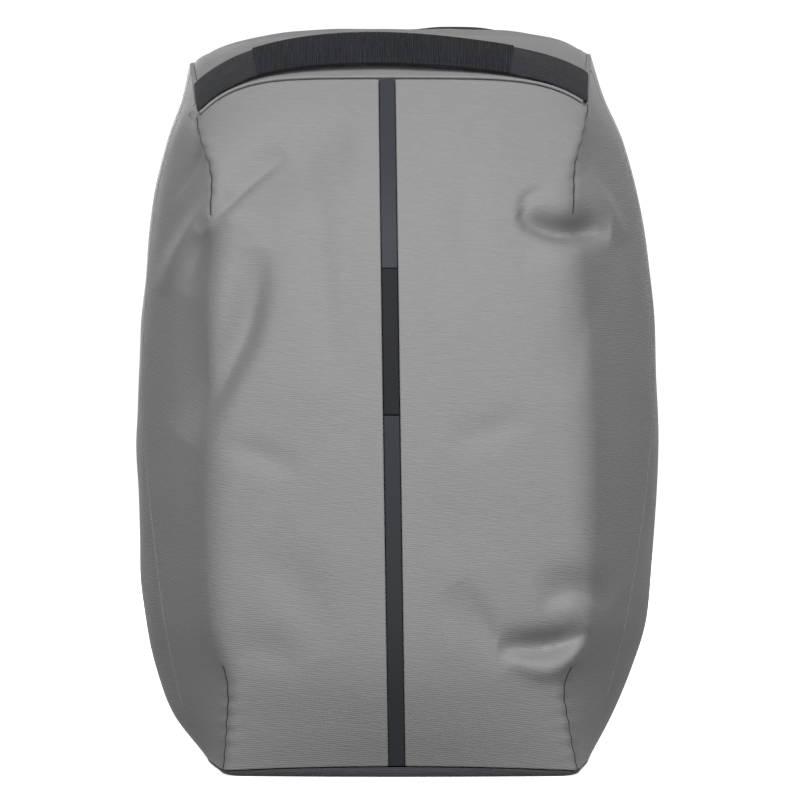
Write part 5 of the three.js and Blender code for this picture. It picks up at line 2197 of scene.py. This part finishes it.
def finishes() -> dict[str, bpy.types.Material]:
    """Every finish of the bag. Each one's scale is its real thread, grain or hole in mm.

    Returns:
        The materials, by the finish's name.
    """
    made = {
        # Dyed polyester twill, woven: a matt grey with uneven lines across. Its real yarn is 0.4 mm, and
        # 1.2 mm is the finest that shows from the camera.
        "grey": WovenCloth(
            "polyester_twill_grey", "#949494", "#8a8a8a", 1.2, Weave.TWILL, sheen=0.03, relief=0.065,
            specular=0.2,
        ),
        # The same cloth cut on the bias and rolled: it catches the light along the seam.
        "piping": WovenCloth("polyester_bias_grey", "#9b9b9b", "#868686", 0.9, Weave.TWILL),
        # Plain woven polyester canvas, dyed black: flat and dull. Drawn twice as coarse as its yarn.
        "black": WovenCloth("polyester_canvas_black", "#3c3e43", "#26272b", 1.0, roughness=0.7),
        # The same canvas under the bag, painted a little lighter as light from the floor.
        "tray": WovenCloth("base_canvas_painted_floor_light", "#46484d", "#303236", 1.0, roughness=0.7),
        # Woven nylon webbing: fine lines along it, nearly no gloss. Drawn twice as coarse as its yarn.
        "webbing": WovenCloth(
            "nylon_webbing_black", "#34353a", "#1b1c1f", 1.3, roughness=0.7, relief=0.25, sheen=0.02,
            specular=0.18,
        ),
        # Grosgrain, woven with raised ribs, the gaps between them painted dark as their shade.
        # A rib is 1.3 mm, as on the real one.
        "ribbed": WovenCloth(
            "grosgrain_black", "#35363b", "#101113", 1.3, Weave.RIBBED, roughness=0.75, relief=0.1, sheen=0.0,
            specular=0.12,
        ),
        # Binding tape, woven and pressed: a narrow edge a little lighter than the mesh beside it.
        "binding": WovenCloth("binding_tape_black", "#35363a", "#212225", 0.8, roughness=0.7),
        # Coated tape, smooth with a fine grain: an even black with a faint broad gloss.
        "tape": SmoothFinish("coated_tape_black", "#292b2f", "#2d2f34", 0.6, 0.5, 0.02, 0.14),
        # The same tape in its upper length, painted lighter and a touch blue for the light it catches there.
        "upper_tape": SmoothFinish("coated_tape_painted_light", "#393b42", "#35373d", 0.6, 0.5, 0.02, 0.14),
        # A moulded rubber patch: the darkest and smoothest length of the band.
        "patch": SmoothFinish("moulded_patch_black", "#1c1d20", "#202125", 0.4, 0.46, 0.015, 0.08),
        # Knitted polyester spacer mesh: rows of small open holes, 3.2 mm apart, as on the real one.
        # The holes are coloured darker than the yarn, as painted shade inside them over the black layer
        # behind.
        "mesh": SpacerMesh("spacer_mesh_black", "#3a3b3f", "#0f1012"),
        # Bonded nylon thread, twisted: short bright dashes on the black straps.
        "thread": SmoothFinish("sewing_thread_black", "#3a3b3e", "#454649", 0.3, 0.6, 0.02),
        # Sewing thread sunk in the darts, painted dark as the shadow in their creases: a fine dark line in
        # the grey cloth.
        "dart_shadow_thread": SmoothFinish("dart_thread_painted_shadow", "#3f3f40", "#4a4a4b", 0.3, 0.7, 0.02, 0.1),
        # Acetal, moulded against fine spark-eroded steel: dull black with soft highlights on its edges.
        "acetal": SmoothFinish("acetal_black", "#1c1d1f", "#232427", 0.25, 0.42, 0.02),
    }
    return {name: finish.material() for name, finish in made.items()}


def main() -> None:
    """Builds the studio, then each sub-assembly in order."""
    logging.basicConfig(level=logging.INFO, format="%(message)s")
    scene = bpy.context.scene
    scene.view_settings.view_transform = "Standard"
    Studio().build()
    form = Form()
    shop = Workshop(form.shift())
    wear = finishes()
    ClothWalls(form, shop, wear["grey"], wear["piping"], wear["dart_shadow_thread"]).build()
    CentreBand(form, shop, wear["tape"], wear["patch"], wear["upper_tape"]).build()
    CarryHandle(form, shop, wear["webbing"], wear["ribbed"]).build()
    Base(form, shop, wear["tray"]).build()
    BackPanel(form, shop, wear["black"], wear["mesh"], wear["tape"], wear["acetal"]).build()
    of_straps = (wear[name] for name in ("black", "mesh", "binding", "webbing", "thread", "acetal"))
    ShoulderStraps(form, shop, *of_straps).build()
    bpy.context.view_layer.update()
    LOG.info("%d pieces", len(shop.made))


if __name__ == "__main__":
    main()
